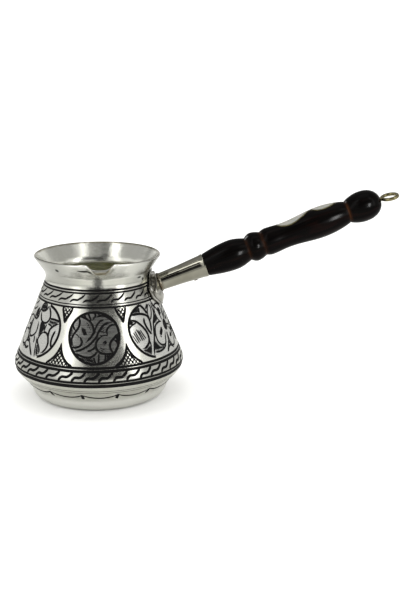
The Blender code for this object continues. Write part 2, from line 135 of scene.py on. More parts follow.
def filleted(corners, arc_step=math.radians(5)):
    """(x, y) points along the corners (x, y, fillet radius), with an arc at each fillet."""
    points = []
    for index, (x, y, radius) in enumerate(corners):
        if radius == 0 or index in (0, len(corners) - 1):
            points.append((x, y))
            continue
        corner = Vector((x, y))
        before = (Vector(corners[index - 1][:2]) - corner).normalized()
        after = (Vector(corners[index + 1][:2]) - corner).normalized()
        half = before.angle(after) / 2
        centre = corner + (before + after).normalized() * radius / math.sin(half)
        start = corner + before * radius / math.tan(half) - centre
        turn = start.angle_signed(corner + after * radius / math.tan(half) - centre)
        steps = max(2, round(abs(turn) / arc_step))
        for step in range(steps + 1):
            points.append(tuple(centre + Matrix.Rotation(-turn * step / steps, 2) @ start))
    return points


def offset_corners(corners, distance):
    """The corners of the same outline, moved to its left by the wall's thickness."""
    lines = []
    for first, second in zip(corners, corners[1:]):
        along = (Vector(second[:2]) - Vector(first[:2])).normalized()
        lines.append((Vector(first[:2]) + Vector((-along.y, along.x)) * distance, along))
    inner = [(0.0, distance, 0.0)]
    for (_, _, radius), line, after in zip(corners[1:], lines, lines[1:]):
        reach = (after[0] - line[0]).cross(after[1]) / line[1].cross(after[1])
        hollow = line[1].cross(after[1]) < 0
        fillet = radius + distance if hollow else max(radius - distance, 0.0)
        inner.append((*(line[0] + line[1] * reach), fillet))
    top = Vector(corners[-1][:2]) + Vector((-lines[-1][1].y, lines[-1][1].x)) * distance
    return inner + [(*top, 0.0)]


OUTER = np.array(filleted(OUTSIDE))
OUTER[:, 0] = np.minimum(OUTER[:, 0], WIDEST)
OUTER_RUN = np.concatenate([[0], np.cumsum(np.hypot(*np.diff(OUTER, axis=0).T))])


def run_at(height):
    """Distance along the outside from the middle of the underside, at a height."""
    return np.interp(height, OUTER[1:, 1], OUTER_RUN[1:])


def radius_at(run):
    """The outer radius at a distance along the outside."""
    return np.interp(run, OUTER_RUN, OUTER[:, 0])


def height_at(run):
    """The height at a distance along the outside."""
    return np.interp(run, OUTER_RUN, OUTER[:, 1])


def wall_radius(height):
    """The outer radius at a height."""
    return float(radius_at(run_at(height)))


def wall_lean(height, step=0.5):
    """The angle that the outside leans out at a height."""
    return math.atan((wall_radius(height + step) - wall_radius(height - step)) / (2 * step))


# ---- the engraving: strokes of a graver, on the outside of the pot -------------------------------
# A stroke is a line of points (x, y) in mm on the pot's surface round a middle: x to the right, y up.

BASE_RADIUS = 36.0  # the engraving is laid out flat on a sheet as wide as this radius's circumference
SHEET_WIDTH = 2 * math.pi * BASE_RADIUS
SHEET_BOTTOM, SHEET_TOP = 5.4, 65.9  # heights between which the wall is laid out on the sheet
SHEET_LOW = float(run_at(SHEET_BOTTOM))
SHEET_HIGH = float(run_at(SHEET_TOP))
SEAM = math.radians(-200)
FIELD_HEIGHT = 39.1  # of the middle of the fields
MIDDLE = float(run_at(FIELD_HEIGHT))
FINE_ROW, COARSE_ROW = 0.65, 1.5  # the mesh's rows on the curved wall, and on the straight wall
STRAIGHT_WALL = (22, 58)
GROOVE_DEPTH = 0.6  # of a stroke's half width
LINE_WEIGHT = 1.9
strokes = []


def smooth(points, step=0.55, closed=False):
    """Points along a smooth line through the given ones (Catmull-Rom)."""
    p = [np.array(q, float) for q in points]
    if closed:
        p = [p[-1], *p, p[0], p[1]]
    else:
        p = [2 * p[0] - p[1], *p, 2 * p[-1] - p[-2]]
    out = []
    for a, b, c, d in zip(p, p[1:], p[2:], p[3:]):
        count = max(2, int(np.hypot(*(c - b)) / step))
        for t in np.arange(count) / count:
            bend = (2 * a - 5 * b + 4 * c - d) * t**2
            twist = (3 * b - a - 3 * c + d) * t**3
            out.append(0.5 * (2 * b + (c - a) * t + bend + twist))
    if not closed:
        out.append(p[-2])
    return np.array(out)


def stroke(points, width=0.6, middle=(0.0, MIDDLE), mirror=False, taper=True, closed=False, even=False):
    """Adds a stroke: middle is (azimuth in degrees, run); even keeps the points as they are."""
    line = np.array(points, float) if even else smooth(points, closed=closed)
    if mirror:
        line = line * (-1, 1)
    run = middle[1] + line[:, 1]
    azimuth = math.radians(middle[0]) + line[:, 0] / radius_at(run)
    share = np.linspace(0, 1, len(line))
    half = np.full(len(line), width / 2 * LINE_WEIGHT)
    if taper and not closed:
        half = half * np.clip(np.sin(math.pi * share) * 3.2, 0.3, 1)
    strokes.append((azimuth, run, half, closed))


def ring_line(height, width, wobble):
    """A line round the pot at a height, a little uneven as if by hand."""
    run = float(run_at(height))
    azimuths = np.radians(np.arange(0, 360, 2.0)) + SEAM
    runs = run + wobble * np.sin(azimuths * 5 + height) * np.sin(azimuths * 11)
    strokes.append((azimuths, runs, np.full(len(azimuths), width / 2 * LINE_WEIGHT), True))


def inside(polygon, points):
    """Which points lie inside a closed polygon."""
    found = np.zeros(len(points), bool)
    x, y = points[:, 0], points[:, 1]
    for (ax, ay), (bx, by) in zip(polygon, np.roll(polygon, -1, axis=0)):
        crosses = (ay > y) != (by > y)
        with np.errstate(divide="ignore", invalid="ignore"):
            found ^= crosses & (x < (bx - ax) * (y - ay) / (by - ay) + ax)
    return found


def hatch(corners, angle, pitch=0.75, width=0.4, rounded=True, **where):
    """Fills an area with parallel strokes."""
    polygon = smooth(corners, closed=True) if rounded else np.array(corners, float)
    along = np.array((math.cos(math.radians(angle)), math.sin(math.radians(angle))))
    across = np.array((-along[1], along[0]))
    reach = polygon @ across
    centre = polygon.mean(0)
    for level in np.arange(reach.min() + pitch / 2, reach.max(), pitch):
        base = centre + across * (level - centre @ across)
        steps = np.arange(-22, 22, 0.2)
        points = base + steps[:, None] * along
        within = inside(polygon, points)
        edges = np.flatnonzero(np.diff(np.concatenate([[False], within, [False]]).astype(int)))
        for first, last in zip(edges[::2], edges[1::2]):
            if last - first > 3:
                ends = points[first], points[last - 1]
                count = max(3, int((last - first) * 0.2 / 0.9))
                line = [ends[0] + (ends[1] - ends[0]) * t for t in np.linspace(0, 1, count)]
                stroke(line, width, even=True, **where)


def egg(centre, angle, length, breadth):
    """The outline of an egg-shaped petal whose narrow end points back along the angle."""
    turn = math.radians(angle)
    along = np.array((math.cos(turn), math.sin(turn)))
    across = np.array((-along[1], along[0]))
    points = []
    for k in range(12):
        t = 2 * math.pi * k / 12
        swell = 1 + 0.22 * math.cos(t)
        ahead = along * length / 2 * math.cos(t)
        points.append(np.array(centre) + ahead + across * breadth / 2 * math.sin(t) * swell)
    return points


def circle(centre, radius_x, radius_y, count=28):
    """Points of an ellipse."""
    turns = np.arange(count) * 2 * math.pi / count
    return [(centre[0] + radius_x * math.cos(t), centre[1] + radius_y * math.sin(t)) for t in turns]


def round_medallion(azimuth, mirror=False):
    """A round field: scrolling leaves and pods on a dark ground."""
    where = {"middle": (azimuth, MIDDLE), "mirror": mirror}
    stroke(circle((-0.6, 0.1), 12.5, 12.8), 0.72, closed=True, **where)
    lines = (
        (((8.6, 7.9), (5, 7.1), (3, 5.4), (1.5, 3), (0.7, 1), (-0.6, -0.8), (-2.5, -2.8), (-4.5, -4.3),
          (-7, -5.6), (-9.5, -6.4), (-11.6, -6.7)), 0.6),
        (((-7.9, 10.7), (-5, 10), (-3, 8.7), (-1.6, 6.8), (-0.9, 4.5), (-1, 2.5), (-2.2, 0.6), (-3.6, -1),
          (-4.7, -2)), 0.58),
        (((4.2, 9.1), (2.6, 8.6), (1.3, 7.3), (0.4, 5.7), (-0.2, 4), (-0.6, 2)), 0.5),
        (((-7.6, 0.6), (-7.0, -0.5), (-6.6, -1.9), (-7.1, -3.3), (-8.3, -4.3), (-10, -4.7),
          (-11.8, -4.6)), 0.6),
        (((-7.9, 10.6), (-7.7, 8), (-8, 6), (-8.8, 4.4), (-10, 2.8), (-11, 1.4), (-11.7, 0), (-12, -1.5),
          (-11.6, -3.2), (-10.9, -4.3)), 0.6),
        (((-8.6, 10.1), (-10.2, 8.7), (-11.2, 6.7), (-10.8, 5.0), (-9.9, 3.6)), 0.5),
        (((-6.5, 5.5), (-6.3, 3.5), (-5.1, 1.4)), 0.42),
        (((-5.8, 5.2), (-5.5, 3.4), (-4.7, 1.6)), 0.36),
        (((-5.2, 4.8), (-4.9, 3.0), (-4.2, 1.8)), 0.42),
        (((9.9, 6.2), (8, 6.3), (6.5, 5.3), (5.6, 4), (5.5, 2.8), (6.1, 1.6)), 0.55),
        (((11.4, 2.2), (10, 0.6), (8.5, -0.8), (7.4, -2.2), (7.1, -3.8), (7.5, -5.5), (8.3, -6.8),
          (9.3, -7.6)), 0.62),
        (((9.4, -7.8), (6, -7.8), (3.8, -7.6), (2, -6.8), (0.8, -5.6), (0.3, -4), (0.3, -2.4),
          (1, -0.8), (2.2, 0.4), (3.2, 0.9)), 0.6),
        (((9.2, -0.9), (10.3, -2), (11.3, -3.4), (10.6, -5.2), (9.4, -7.2)), 0.5),
        (((3.5, -2.6), (5.4, -1.1)), 0.42),
        (((4.2, -3.2), (5.7, -1.8)), 0.42),
        (((-10.6, -7.7), (-8, -8.4), (-5.5, -9.2), (-3.6, -9.4), (-1.5, -8.8), (0.2, -7.5),
          (0.8, -6.2)), 0.6),
        (((-4.1, -6.3), (-2.4, -5.9), (-0.8, -5.0), (-0.3, -3.8)), 0.5),
        (((-0.8, -9.3), (-0.4, -11), (0.2, -12.2)), 0.5),
        (((1.7, -7.6), (1.6, -10), (1.5, -12.3)), 0.5),
        (((4.8, -8.0), (4.9, -10), (4.3, -11.6)), 0.5),
        (((-4.6, 12.2), (-5.2, 11.2), (-4.5, 10.2)), 0.45),
        (((-3.6, 12.8), (-2.8, 10.6), (-1.9, 8.6)), 0.5),
        (((-1.9, 12.9), (-0.4, 12.4), (0.1, 11.3), (-0.7, 10), (-1.4, 8.8)), 0.5),
        (((0.4, 10.6), (2.6, 11.2), (5, 10.6), (7.2, 9.2), (8.2, 8.2)), 0.5),
        (((2.0, 1.5), (3.4, 1.2), (5, 1.5), (6.2, 1.0)), 0.35),
        (((1.9, 4.4), (3.0, 3.2), (4.6, 3.0)), 0.35),
        (((-9.8, 2.0), (-8.6, 1.2), (-8.2, 0.2)), 0.3),
    )
    for points, width in lines:
        stroke(points, width, **where)
    hatch(((-12.4, 4.5), (-11.2, 4.7), (-11.2, 2.5), (-12.2, 0.2), (-12.7, 1.5)), 20, 0.65, 0.38, **where)
    hatch(((-8.5, -9.2), (-5, -9.8), (-1.4, -9.4), (-0.9, -12.0), (-5, -11.6)), 48, 0.72, 0.44, **where)
    hatch(((5.3, -8.3), (9.2, -8.3), (7.3, -10.4), (5.3, -11.2)), 40, 0.66, 0.46, **where)
    hatch(((11.5, 1.2), (9.6, -0.4), (11.3, -2.6)), 20, 0.6, 0.44, **where)
    hatch(((0.8, 11.8), (4.5, 11.4), (7.6, 9.3), (4.5, 11.9), (1.5, 12.4)), 12, 0.5, 0.36, **where)
    hatch(((-7.6, 11.0), (-5.5, 10.8), (-5.0, 11.9), (-6.2, 11.7)), 55, 0.55, 0.36, **where)
    hatch(((3.2, 5.0), (5.0, 5.9), (5.0, 2.6), (2.4, 2.8)), 35, 1.0, 0.24, **where)
    hatch(((-4.4, 8.2), (-2.2, 6.2), (-2.0, 3.6), (-3.6, 5.2)), 70, 0.9, 0.24, **where)
    hatch(((1.3, -3.0), (3.0, -4.4), (5.6, -6.8), (2.4, -6.2)), -30, 0.95, 0.24, **where)


def flower(centre, petals, width=0.55, seed=(1.9, 2.4), **where):
    """Egg petals (angle, distance, length, breadth), each with a dark slit, round a dark seed head."""
    for angle, distance, length, breadth in petals:
        turn = math.radians(angle)
        outward = np.array((math.cos(turn), math.sin(turn)))
        middle = np.array(centre) + outward * distance
        stroke(egg(middle, angle, length, breadth), width, closed=True, **where)
        slit = [middle + outward * reach for reach in (-1.5, 0, 1.3)]
        stroke(slit, 1.25, **where)
    stroke(circle(centre, *seed, count=14), 0.6, closed=True, **where)
    hatch(circle(centre, seed[0] - 0.1, seed[1] - 0.1, 14), 60, 0.5, 0.46, **where)


def leaf_and_flower(azimuth, mirror=False):
    """The right-hand end of the round medallion's neighbour: a veined leaf, a stem and a big flower."""
    where = {"middle": (azimuth, MIDDLE), "mirror": mirror}
    lines = (
        (((-12.3, 8.2), (-10.5, 7), (-9, 6.2), (-7.5, 4.6), (-6, 2.6), (-5, 0.5), (-4.6, -1.5),
          (-4.8, -3.7), (-5.6, -5.3), (-7, -6.5), (-8.6, -7.3), (-10.5, -7.6)), 0.7),
        (((-14.6, 3.0), (-13.3, 4.3), (-11.5, 5.2), (-9.6, 5.7)), 0.5),
        (((-10.7, 2.6), (-9.9, 0.2), (-8.9, -3.8)), 0.42),
        (((-9.6, 2.0), (-8.8, -0.4), (-7.8, -3.6)), 0.38),
        (((-8.5, 1.9), (-7.7, -0.4), (-6.6, -3.1)), 0.38),
        (((-12.8, 1.2), (-12.1, -1.2), (-11.1, -4.4)), 0.38),
        (((-11.8, 1.8), (-11.1, -1.0), (-10.1, -3.8)), 0.38),
        (((-13.8, 0.0), (-13.1, -2.2), (-12.2, -4.6)), 0.3),
        (((-11.3, 9.9), (-8.5, 10), (-5.5, 9.8), (-3, 9), (-1.4, 8), (-0.6, 6.4), (-0.4, 4.6), (-0.8, 2.4),
          (-1.4, 0.4), (-2, -0.9)), 0.7),
        (((-3.8, 7.4), (-4.4, 5.5), (-4.1, 3), (-3.4, 1), (-2.5, -0.8), (-1.8, -1.5)), 0.75),
        (((-5.4, 13.2), (-5.4, 12), (-5.7, 10.3)), 0.5),
        (((-3.9, 14.2), (-2.6, 12.6), (-1.6, 11), (-0.9, 9.2)), 0.75),
        (((-0.9, 11.3), (0.2, 12.5), (1.4, 13.8)), 0.5),
        (((2.3, 13.5), (0.8, 11.8), (-0.2, 9.5), (-0.3, 7.5), (0.1, 5.7)), 0.5),
        (((2.6, 13.6), (3.4, 11.5), (3, 9.5), (2.2, 7.8), (0.9, 6.1), (0.1, 5.6)), 0.5),
        (((-6.7, -11.4), (-5.5, -8.9), (-4.8, -6.6), (-4.5, -4.6)), 0.5),
        (((-4.8, -12.6), (-3.5, -9.3), (-2.4, -6.6), (-1.1, -4), (-0.3, -2), (0.4, 0), (1.2, 2),
          (1.9, 3.8), (3.0, 5.3), (4.2, 7.2), (4.9, 9.2), (4.7, 11.4), (4.1, 13.6)), 0.6),
        (((9.5, 2.5), (7.6, 3.4), (6.4, 5.2), (5.8, 8), (6.6, 10.6), (8.4, 12), (11, 11.7),
          (13.4, 10.2), (14.2, 7.6), (13.8, 4.6), (13.0, 2.9)), 0.55),
        (((9.3, 2.3), (7, 2.9), (5, 2.7), (3, 2), (1.8, 0.5), (0.9, -1.7), (0.6, -4), (1, -6.2),
          (2.2, -7.8), (4, -8.7), (6, -9), (7.5, -8), (8.4, -6), (9.4, -4.2), (10.6, -2.4)), 0.6),
        (((12.2, -4.2), (12, -7), (12.5, -9.5), (13.8, -11.3), (15.8, -11.8), (18.2, -10.6), (19.6, -8.2),
          (19.2, -5.4), (17.2, -3.0), (15, -1.6)), 0.55),
        (((11.7, -3.4), (11.2, -6.3), (10.3, -8.5), (8.8, -10.5), (7.4, -12), (6.4, -13.2)), 0.6),
        (((-3.4, -10.8), (0, -11.1), (3, -10.8), (5.5, -9.9), (7.2, -8.6)), 0.6),
        (((7.2, -13.2), (8.5, -11.5), (10.5, -10.7), (12.5, -11.3), (14.6, -12.9)), 0.55),
        (((11.9, 6.0), (10.9, 7.5), (10.2, 9.0), (11.4, 8.6), (12.0, 7.2)), 0.9),
        (((10.1, 6.0), (10.7, 7.6), (11.6, 8.8)), 1.3),
        (((4.9, -3.3), (6.2, -2.1), (7.6, -0.9)), 1.2),
        (((4.5, -4.6), (5.2, -4.2)), 0.8),
        (((15.2, -7.0), (16.2, -6.2), (17.2, -5.6)), 1.2),
        (((9.4, 8.4), (8.6, 9.6)), 0.3),
    )
    for points, width in lines:
        stroke(points, width, **where)
    stroke(egg((18.2, 1.9), 8, 8.6, 6.4), 0.55, closed=True, **where)
    stroke(((17.2, 2.2), (18.4, 2.5), (19.8, 2.6)), 1.1, **where)
    stroke(((14.2, 4.0), (15.4, 6.4), (17.4, 8.4), (19.6, 9.0), (20.4, 7.2), (19.4, 5.2)), 0.5, **where)
    stroke(circle((12.8, 0), 1.9, 2.4, 14), 0.6, closed=True, **where)
    hatch(circle((12.8, 0), 1.8, 2.3, 14), 60, 0.48, 0.48, **where)
    grounds = (
        (((-10.6, 10.6), (-6.2, 10.6), (-5.8, 13.0), (-8.4, 12.4)), 62, 0.6),
        (((-13.8, 5.2), (-10.4, 6.4), (-12.6, 7.8)), 10, 0.55),
        (((-10.4, -8.4), (-7.4, -7.4), (-5.4, -6.6), (-5.9, -9), (-7.4, -11.2)), 66, 0.72),
        (((-2.3, -6.0), (-1.0, -4.6), (0.2, -6.4), (2.0, -8.6), (5.4, -9.6), (2.0, -10.4),
          (-2.9, -10.1)), 58, 0.74),
        (((2.2, 3.2), (5.2, 3.6), (6.0, 4.6), (5.3, 8), (4.4, 6.8)), 80, 0.6),
        (((9.2, -9.6), (11.1, -7.4), (11.7, -9), (12.8, -10.8), (10.6, -10.2)), 75, 0.55),
        (((5.6, 11.2), (7.0, 12.0), (6.4, 13.4), (4.9, 13.4)), 30, 0.5),
    )
    for corners, angle, pitch in grounds:
        hatch(corners, angle, pitch, 0.46, **where)


def petals_and_leaf(azimuth, mirror=False):
    """The left-hand field's end: egg petals on a hatched ground, a ribbed sepal and a leaf."""
    where = {"middle": (azimuth, MIDDLE), "mirror": mirror}
    lines = (
        (((1.5, 13.6), (2.8, 12.3), (4, 10.6), (4.7, 8.7), (4.6, 7), (3.8, 5.7), (2.4, 4.9), (0.6, 4.9),
          (-1, 5.5), (-2.4, 7), (-3.2, 8.9), (-3.5, 10.2)), 0.62),
        (((1.4, 13.4), (0.7, 11.7), (-0.6, 10.7), (-3.0, 10.1)), 0.5),
        (((5.2, 7.6), (7.5, 7.7), (10, 7.4), (11.6, 6.7)), 0.6),
        (((4.5, 4.9), (6, 4.7), (7.8, 4)), 0.5),
        (((11.7, 6.0), (9.5, 5), (8, 3.8), (7, 2.3), (6.9, 0.5), (7.3, -1.5), (8.2, -3.8), (8.4, -5.5),
          (8, -7.4), (6.8, -9.2), (5.2, -10.2)), 0.65),
        (((10.7, 2.3), (10.2, 0.5), (9.9, -1.5), (10, -3.6), (10.6, -5.3), (11.3, -6.6)), 0.65),
        (((3.9, 4.5), (3.4, 2.7), (3.5, 0.9)), 0.5),
        (((2.9, 0.3), (4.8, 0.4), (6.2, -0.3), (7.3, -1.6)), 0.6),
        (((3.3, 0.3), (1.8, -0.6), (0.7, -2.4), (0.3, -4), (0.9, -5.6), (2.2, -6.8), (3.5, -8.3),
          (4.1, -9.8), (3.8, -11)), 0.6),
        (((-6.6, -7), (-5, -8.8), (-3, -10.9), (-1.2, -12.8)), 0.7),
        (((-1, -3.4), (-0.4, -5), (0.1, -7.5), (0.7, -10.5), (1.6, -13)), 0.5),
        (((-3.7, -3.0), (-2.8, -4.6), (-2.6, -6.4)), 0.6),
        (((-9.7, 5), (-10.3, 3), (-10.4, 0.5), (-10, -1.8), (-9.2, -3.3), (-7.8, -4.0), (-6, -3.6),
          (-4.2, -2.4), (-3.1, -0.8), (-2.9, 1), (-3.2, 3), (-3.9, 4.5)), 0.6),
        (((-11.8, 6.2), (-10, 5.7), (-8, 5.3), (-6.3, 5.5), (-5.3, 6.8), (-5.3, 9), (-4.9, 11.4)), 0.6),
        (((-10.4, -7.2), (-9, -6.7), (-7.5, -6.8), (-6.3, -7.4)), 0.6),
        (((-10.9, -9.7), (-9.6, -10.3), (-8.2, -10.2), (-6.7, -9.2)), 0.8),
        (((-17.6, -2.5), (-15, -1.7), (-13, -1.7), (-11.4, -2.6), (-10.5, -4.3), (-10.6, -6.3),
          (-11.6, -8.2), (-13, -9.3), (-15, -9.7), (-17.2, -9.0), (-18.6, -6.4), (-18.4, -3.8),
          (-17.2, -2.4)), 0.6),
        (((-10.4, 4.8), (-11.3, 3.2), (-12.6, 1.6), (-15.2, 0.6)), 0.55),
        (((-12, 6.2), (-14.6, 5.6), (-16.8, 4.4), (-18.2, 2.4)), 0.55),
        (((-14.4, 11.3), (-12.4, 12.6), (-10.2, 13.9)), 0.55),
        (((-9.6, 11.2), (-12, 9.6), (-14.6, 8.8), (-17.2, 9.4)), 0.5),
    )
    for points, width in lines:
        stroke(points, width, **where)
    stroke(egg((-2.4, 12.4), 35, 5.0, 3.6), 0.55, closed=True, **where)
    grounds = (
        (((-4.6, 11.8), (-3.2, 10.8), (-0.4, 12.2), (-0.6, 14.0), (-2.6, 14.0)), 58, 0.55),
        (((5.3, 5.4), (7.8, 4.8), (10.6, 6.2), (9.8, 7.0), (5.4, 7.1)), 72, 0.75),
        (((-1.4, 4.9), (2.6, 4.3), (3.0, 1.4), (1.6, 0), (-0.2, -2.4), (-1.0, 0.6)), 30, 0.66),
        (((-1.2, 4.4), (2.9, 3.9), (2.6, 0.6), (0.4, -1.0), (-0.9, 1.2)), 100, 1.1),
        (((0.8, -6.4), (2.6, -7.6), (3.6, -9.6), (3.2, -11.4), (1.6, -11.8)), 52, 0.64),
        (((-9.6, 6.4), (-6.3, 6.2), (-5.9, 8.8), (-6.3, 11.6), (-8.3, 10.2)), 60, 0.55),
        (((-12.8, 0.6), (-11.0, 2.4), (-10.9, -1.4), (-12.6, -1.2)), 60, 0.5),
        (((-10.4, -4.2), (-8.6, -4.5), (-6.4, -6.2), (-9.4, -6.2)), 20, 0.5),
        (((-12.0, -9.4), (-10.4, -8.4), (-11.2, -10.2), (-14.4, -10.8)), 10, 0.5),
    )
    for corners, angle, pitch in grounds:
        hatch(corners, angle, pitch, 0.46, **where)


def field_end(azimuth, centre, radius, side, mirror=False):
    """The round end of a long field, from the band above to the band below."""
    where = {"middle": (azimuth, MIDDLE), "mirror": mirror}
    turns = np.radians(np.linspace(76, -74, 30))
    points = [(centre[0] + side * radius * math.cos(t), centre[1] + radius * math.sin(t)) for t in turns]
    stroke(points, 0.72, even=True, taper=False, **where)


def spandrel(azimuth, mirror=False):
    """The cross-hatched triangles above and below the place where two fields meet."""
    where = {"middle": (azimuth, MIDDLE), "mirror": mirror}
    upper_left = ((-3.1, 14.6), (-1.9, 11.8), (-0.6, 9.2), (0.2, 6.8))
    upper_right = ((2.7, 14.6), (1.6, 11.2), (0.8, 8.8), (0.3, 6.8))
    lower_left = ((0, -3.0), (0, -4.8), (-0.9, -7.6), (-2.5, -10.4), (-5, -12.8), (-7.9, -14.3))
    lower_right = ((0, -4.4), (1.0, -7.2), (2.7, -10), (5, -12.3), (7.7, -14.3))
    for points in (upper_left, upper_right, lower_left, lower_right):
        stroke(points, 0.68, **where)
    for angle in (52, 128):
        hatch((*upper_left, *upper_right[::-1]), angle, 1.5, 0.42, rounded=False, **where)
        hatch((*lower_left[1:], *lower_right[::-1]), angle, 1.55, 0.42, rounded=False, **where)


def wavy_band(count, height, shape, width, start):
    """Wavy strokes round the pot, each a little different as if by hand."""
    run = float(run_at(height))
    for index in range(count):
        sway = random.uniform(-0.25, 0.25)
        lift = random.uniform(-0.15, 0.15)
        stretch = random.uniform(0.93, 1.05)
        points = [(x * stretch + sway, y + lift * (1 - abs(x) / 5)) for x, y in shape]
        stroke(points, width, middle=(start + 360 * index / count, run))


def scallops(count, top, bottom, start):
    """A scalloped line with a short tick at each point of it."""
    high, low = float(run_at(top)), float(run_at(bottom))
    for index in range(count):
        first = start + 360 * index / count
        width = math.radians(360 / count) * float(radius_at(high))
        points = [(width * t, (low - high) * math.sin(math.pi * t) ** 0.7) for t in np.linspace(0, 1, 13)]
        stroke(points, 0.58, middle=(first, high), even=True)
        lean = 0.9 * math.sin(math.radians(first + 91)) * random.uniform(0.8, 1.1)
        stroke(((0, 0.1), (-0.3 * lean, -1.9), (-lean, -4.1)), 0.85, middle=(first, high))


NEAR_SIDE = -4.0  # the middle of the long field under the handle
FAR_SIDE = 176.0
LEAF_FIELD = -41.57
PETAL_FIELD = -144.43

round_medallion(-93.0)
round_medallion(2 * NEAR_SIDE + 93.0 - 1.0, mirror=True)
leaf_and_flower(LEAF_FIELD)
leaf_and_flower(2 * NEAR_SIDE - LEAF_FIELD, mirror=True)
petals_and_leaf(PETAL_FIELD)
petals_and_leaf(2 * FAR_SIDE - PETAL_FIELD - 360, mirror=True)
flower(
    (0, -0.5),
    [(90 + 60 * k, 5.0, 6.6, 4.6) for k in range(6)],
    middle=(FAR_SIDE, MIDDLE),
)
flower(
    (0, -5.5),
    [(90 + 72 * k, 3.8, 4.9, 3.7) for k in range(5)],
    width=0.36,
    seed=(0.7, 0.9),
    middle=(NEAR_SIDE, MIDDLE),
)
field_end(LEAF_FIELD, (-1.0, 0.5), 13.9, -1)
field_end(2 * NEAR_SIDE - LEAF_FIELD, (-1.0, 0.5), 13.9, -1, mirror=True)
field_end(PETAL_FIELD, (-0.4, 0.7), 13.7, 1)
field_end(2 * FAR_SIDE - PETAL_FIELD - 360, (-0.4, 0.7), 13.7, 1, mirror=True)
spandrel(-69.6)
spandrel(2 * NEAR_SIDE + 69.6, mirror=True)
spandrel(-119.4, mirror=True)
spandrel(2 * FAR_SIDE + 119.4 - 360)

RING_LINES = (  # (height, width)
    (61.0, 0.55), (59.7, 0.5), (53.1, 0.55), (25.5, 0.68), (24.0, 0.76), (18.7, 0.64), (16.9, 1.05),
)
FAINT_LINES = ((54.4, 0.3), (13.6, 0.16), (12.3, 0.16))
for height, width in RING_LINES:
    ring_line(height, width, wobble=0.06)
for height, width in FAINT_LINES:
    ring_line(height, width, wobble=0.1)
wavy_band(
    27,
    57.2,
    ((-4.1, -2.1), (-3.3, -1.3), (-2.2, -0.75), (-1.0, -0.75), (0.2, -0.75), (1.3, -0.1), (2.6, 0.75),
     (4.1, 2.2)),
    0.55,
    -97.0,
)
wavy_band(
    40,
    21.3,
    ((-4.1, -2.6), (-3.3, -1.5), (-2.5, -0.6), (-1.5, -0.2), (-0.4, -0.3), (0.7, -0.2), (1.7, 0.35),
     (2.8, 1.4), (4.0, 2.6)),
    0.74,
    -95.0,
)
scallops(14, 10.9, 8.7, -103.2)

BRACKET_EDGE = (  # (azimuth, height) of the line engraved round the bracket
    (-14.0, 65.4), (-18.0, 64.2), (-22.5, 61.4), (-27.6, 59.2), (-31.6, 56.2),
    (-31.9, 53.0), (-30.0, 50.2), (-26.6, 47.8), (-24.6, 45.2), (-24.2, 42.2),
)
for side in (1, -1):
    edge = smooth([(math.radians(a) * BASE_RADIUS * side, float(run_at(h))) for a, h in BRACKET_EDGE])
    strokes.append((edge[:, 0] / BASE_RADIUS, edge[:, 1], np.full(len(edge), 0.5), False))

# ---- the pot -------------------------------------------------------------------------------------


def sheet(azimuth):
    """Azimuth (radians) to the sheet's x, without wrapping."""
    return (azimuth - SEAM) * BASE_RADIUS


def laid_out():
    """Every stroke as (points on the sheet, half widths, closed), repeated across the sheet's ends."""
    laid = []
    for azimuth, run, half, closed in strokes:
        x = sheet(azimuth)
        if closed and x.max() - x.min() > 0.9 * SHEET_WIDTH:
            x = np.append(x, x[0] + SHEET_WIDTH)
            laid.append((np.stack([x, np.append(run, run[0])], 1), np.append(half, half[0]), False))
            continue
        x = x - SHEET_WIDTH * math.floor(x.mean() / SHEET_WIDTH)
        shifts = [0.0]
        if x.min() < 1:
            shifts.append(SHEET_WIDTH)
        if x.max() > SHEET_WIDTH - 1:
            shifts.append(-SHEET_WIDTH)
        for shift in shifts:
            laid.append((np.stack([x + shift, run], 1), half, closed))
    return laid


def sides_of(points, half, closed):
    """The two edges of a stroke, as wide on the pot as it should be."""
    stretch = BASE_RADIUS / radius_at(points[:, 1])
    ahead = np.roll(points, -1, axis=0)
    behind = np.roll(points, 1, axis=0)
    if not closed:
        ahead[-1] = points[-1]
        behind[0] = points[0]
    along = (ahead - behind) / np.stack([stretch, np.ones(len(points))], 1)
    along = along / np.maximum(np.hypot(*along.T), 1e-9)[:, None]
    normal = np.stack([-along[:, 1] * stretch, along[:, 0]], 1)
    return points + normal * half[:, None], points - normal * half[:, None]


def groove(laid, targets):
    """How deep (mm) each target point on the sheet lies in a groove, or below zero outside them all."""
    depth = np.full(len(targets), -9.0)
    order = np.argsort(targets[:, 0])
    ordered = targets[order]
    for points, half, closed in laid:
        line = np.vstack([points, points[:1]]) if closed else points
        wide = np.append(half, half[0]) if closed else half
        margin = half.max() * 1.6 + 0.1
        for first in range(0, len(line) - 1, 12):
            part = line[first : first + 13]
            part_wide = wide[first : first + 13]
            reach = (part[:, 0].min() - margin, part[:, 0].max() + margin)
            left, right = np.searchsorted(ordered[:, 0], reach)
            near = order[left:right]
            runs = targets[near, 1]
            near = near[(runs > part[:, 1].min() - margin) & (runs < part[:, 1].max() + margin)]
            if not len(near):
                continue
            stretch = radius_at(part[:, 1].mean()) / BASE_RADIUS
            scale = np.array((stretch, 1.0))
            p = targets[near] * scale
            a, b = part[:-1] * scale, part[1:] * scale
            ab = b - a
            span = np.maximum((ab**2).sum(1), 1e-12)
            t = np.clip(((p[:, None] - a) * ab).sum(2) / span, 0, 1)
            away = np.sqrt(((p[:, None] - a - ab * t[..., None]) ** 2).sum(2))
            width = part_wide[:-1] + (part_wide[1:] - part_wide[:-1]) * t
            depth[near] = np.maximum(depth[near], (width - away).max(1))
    return depth


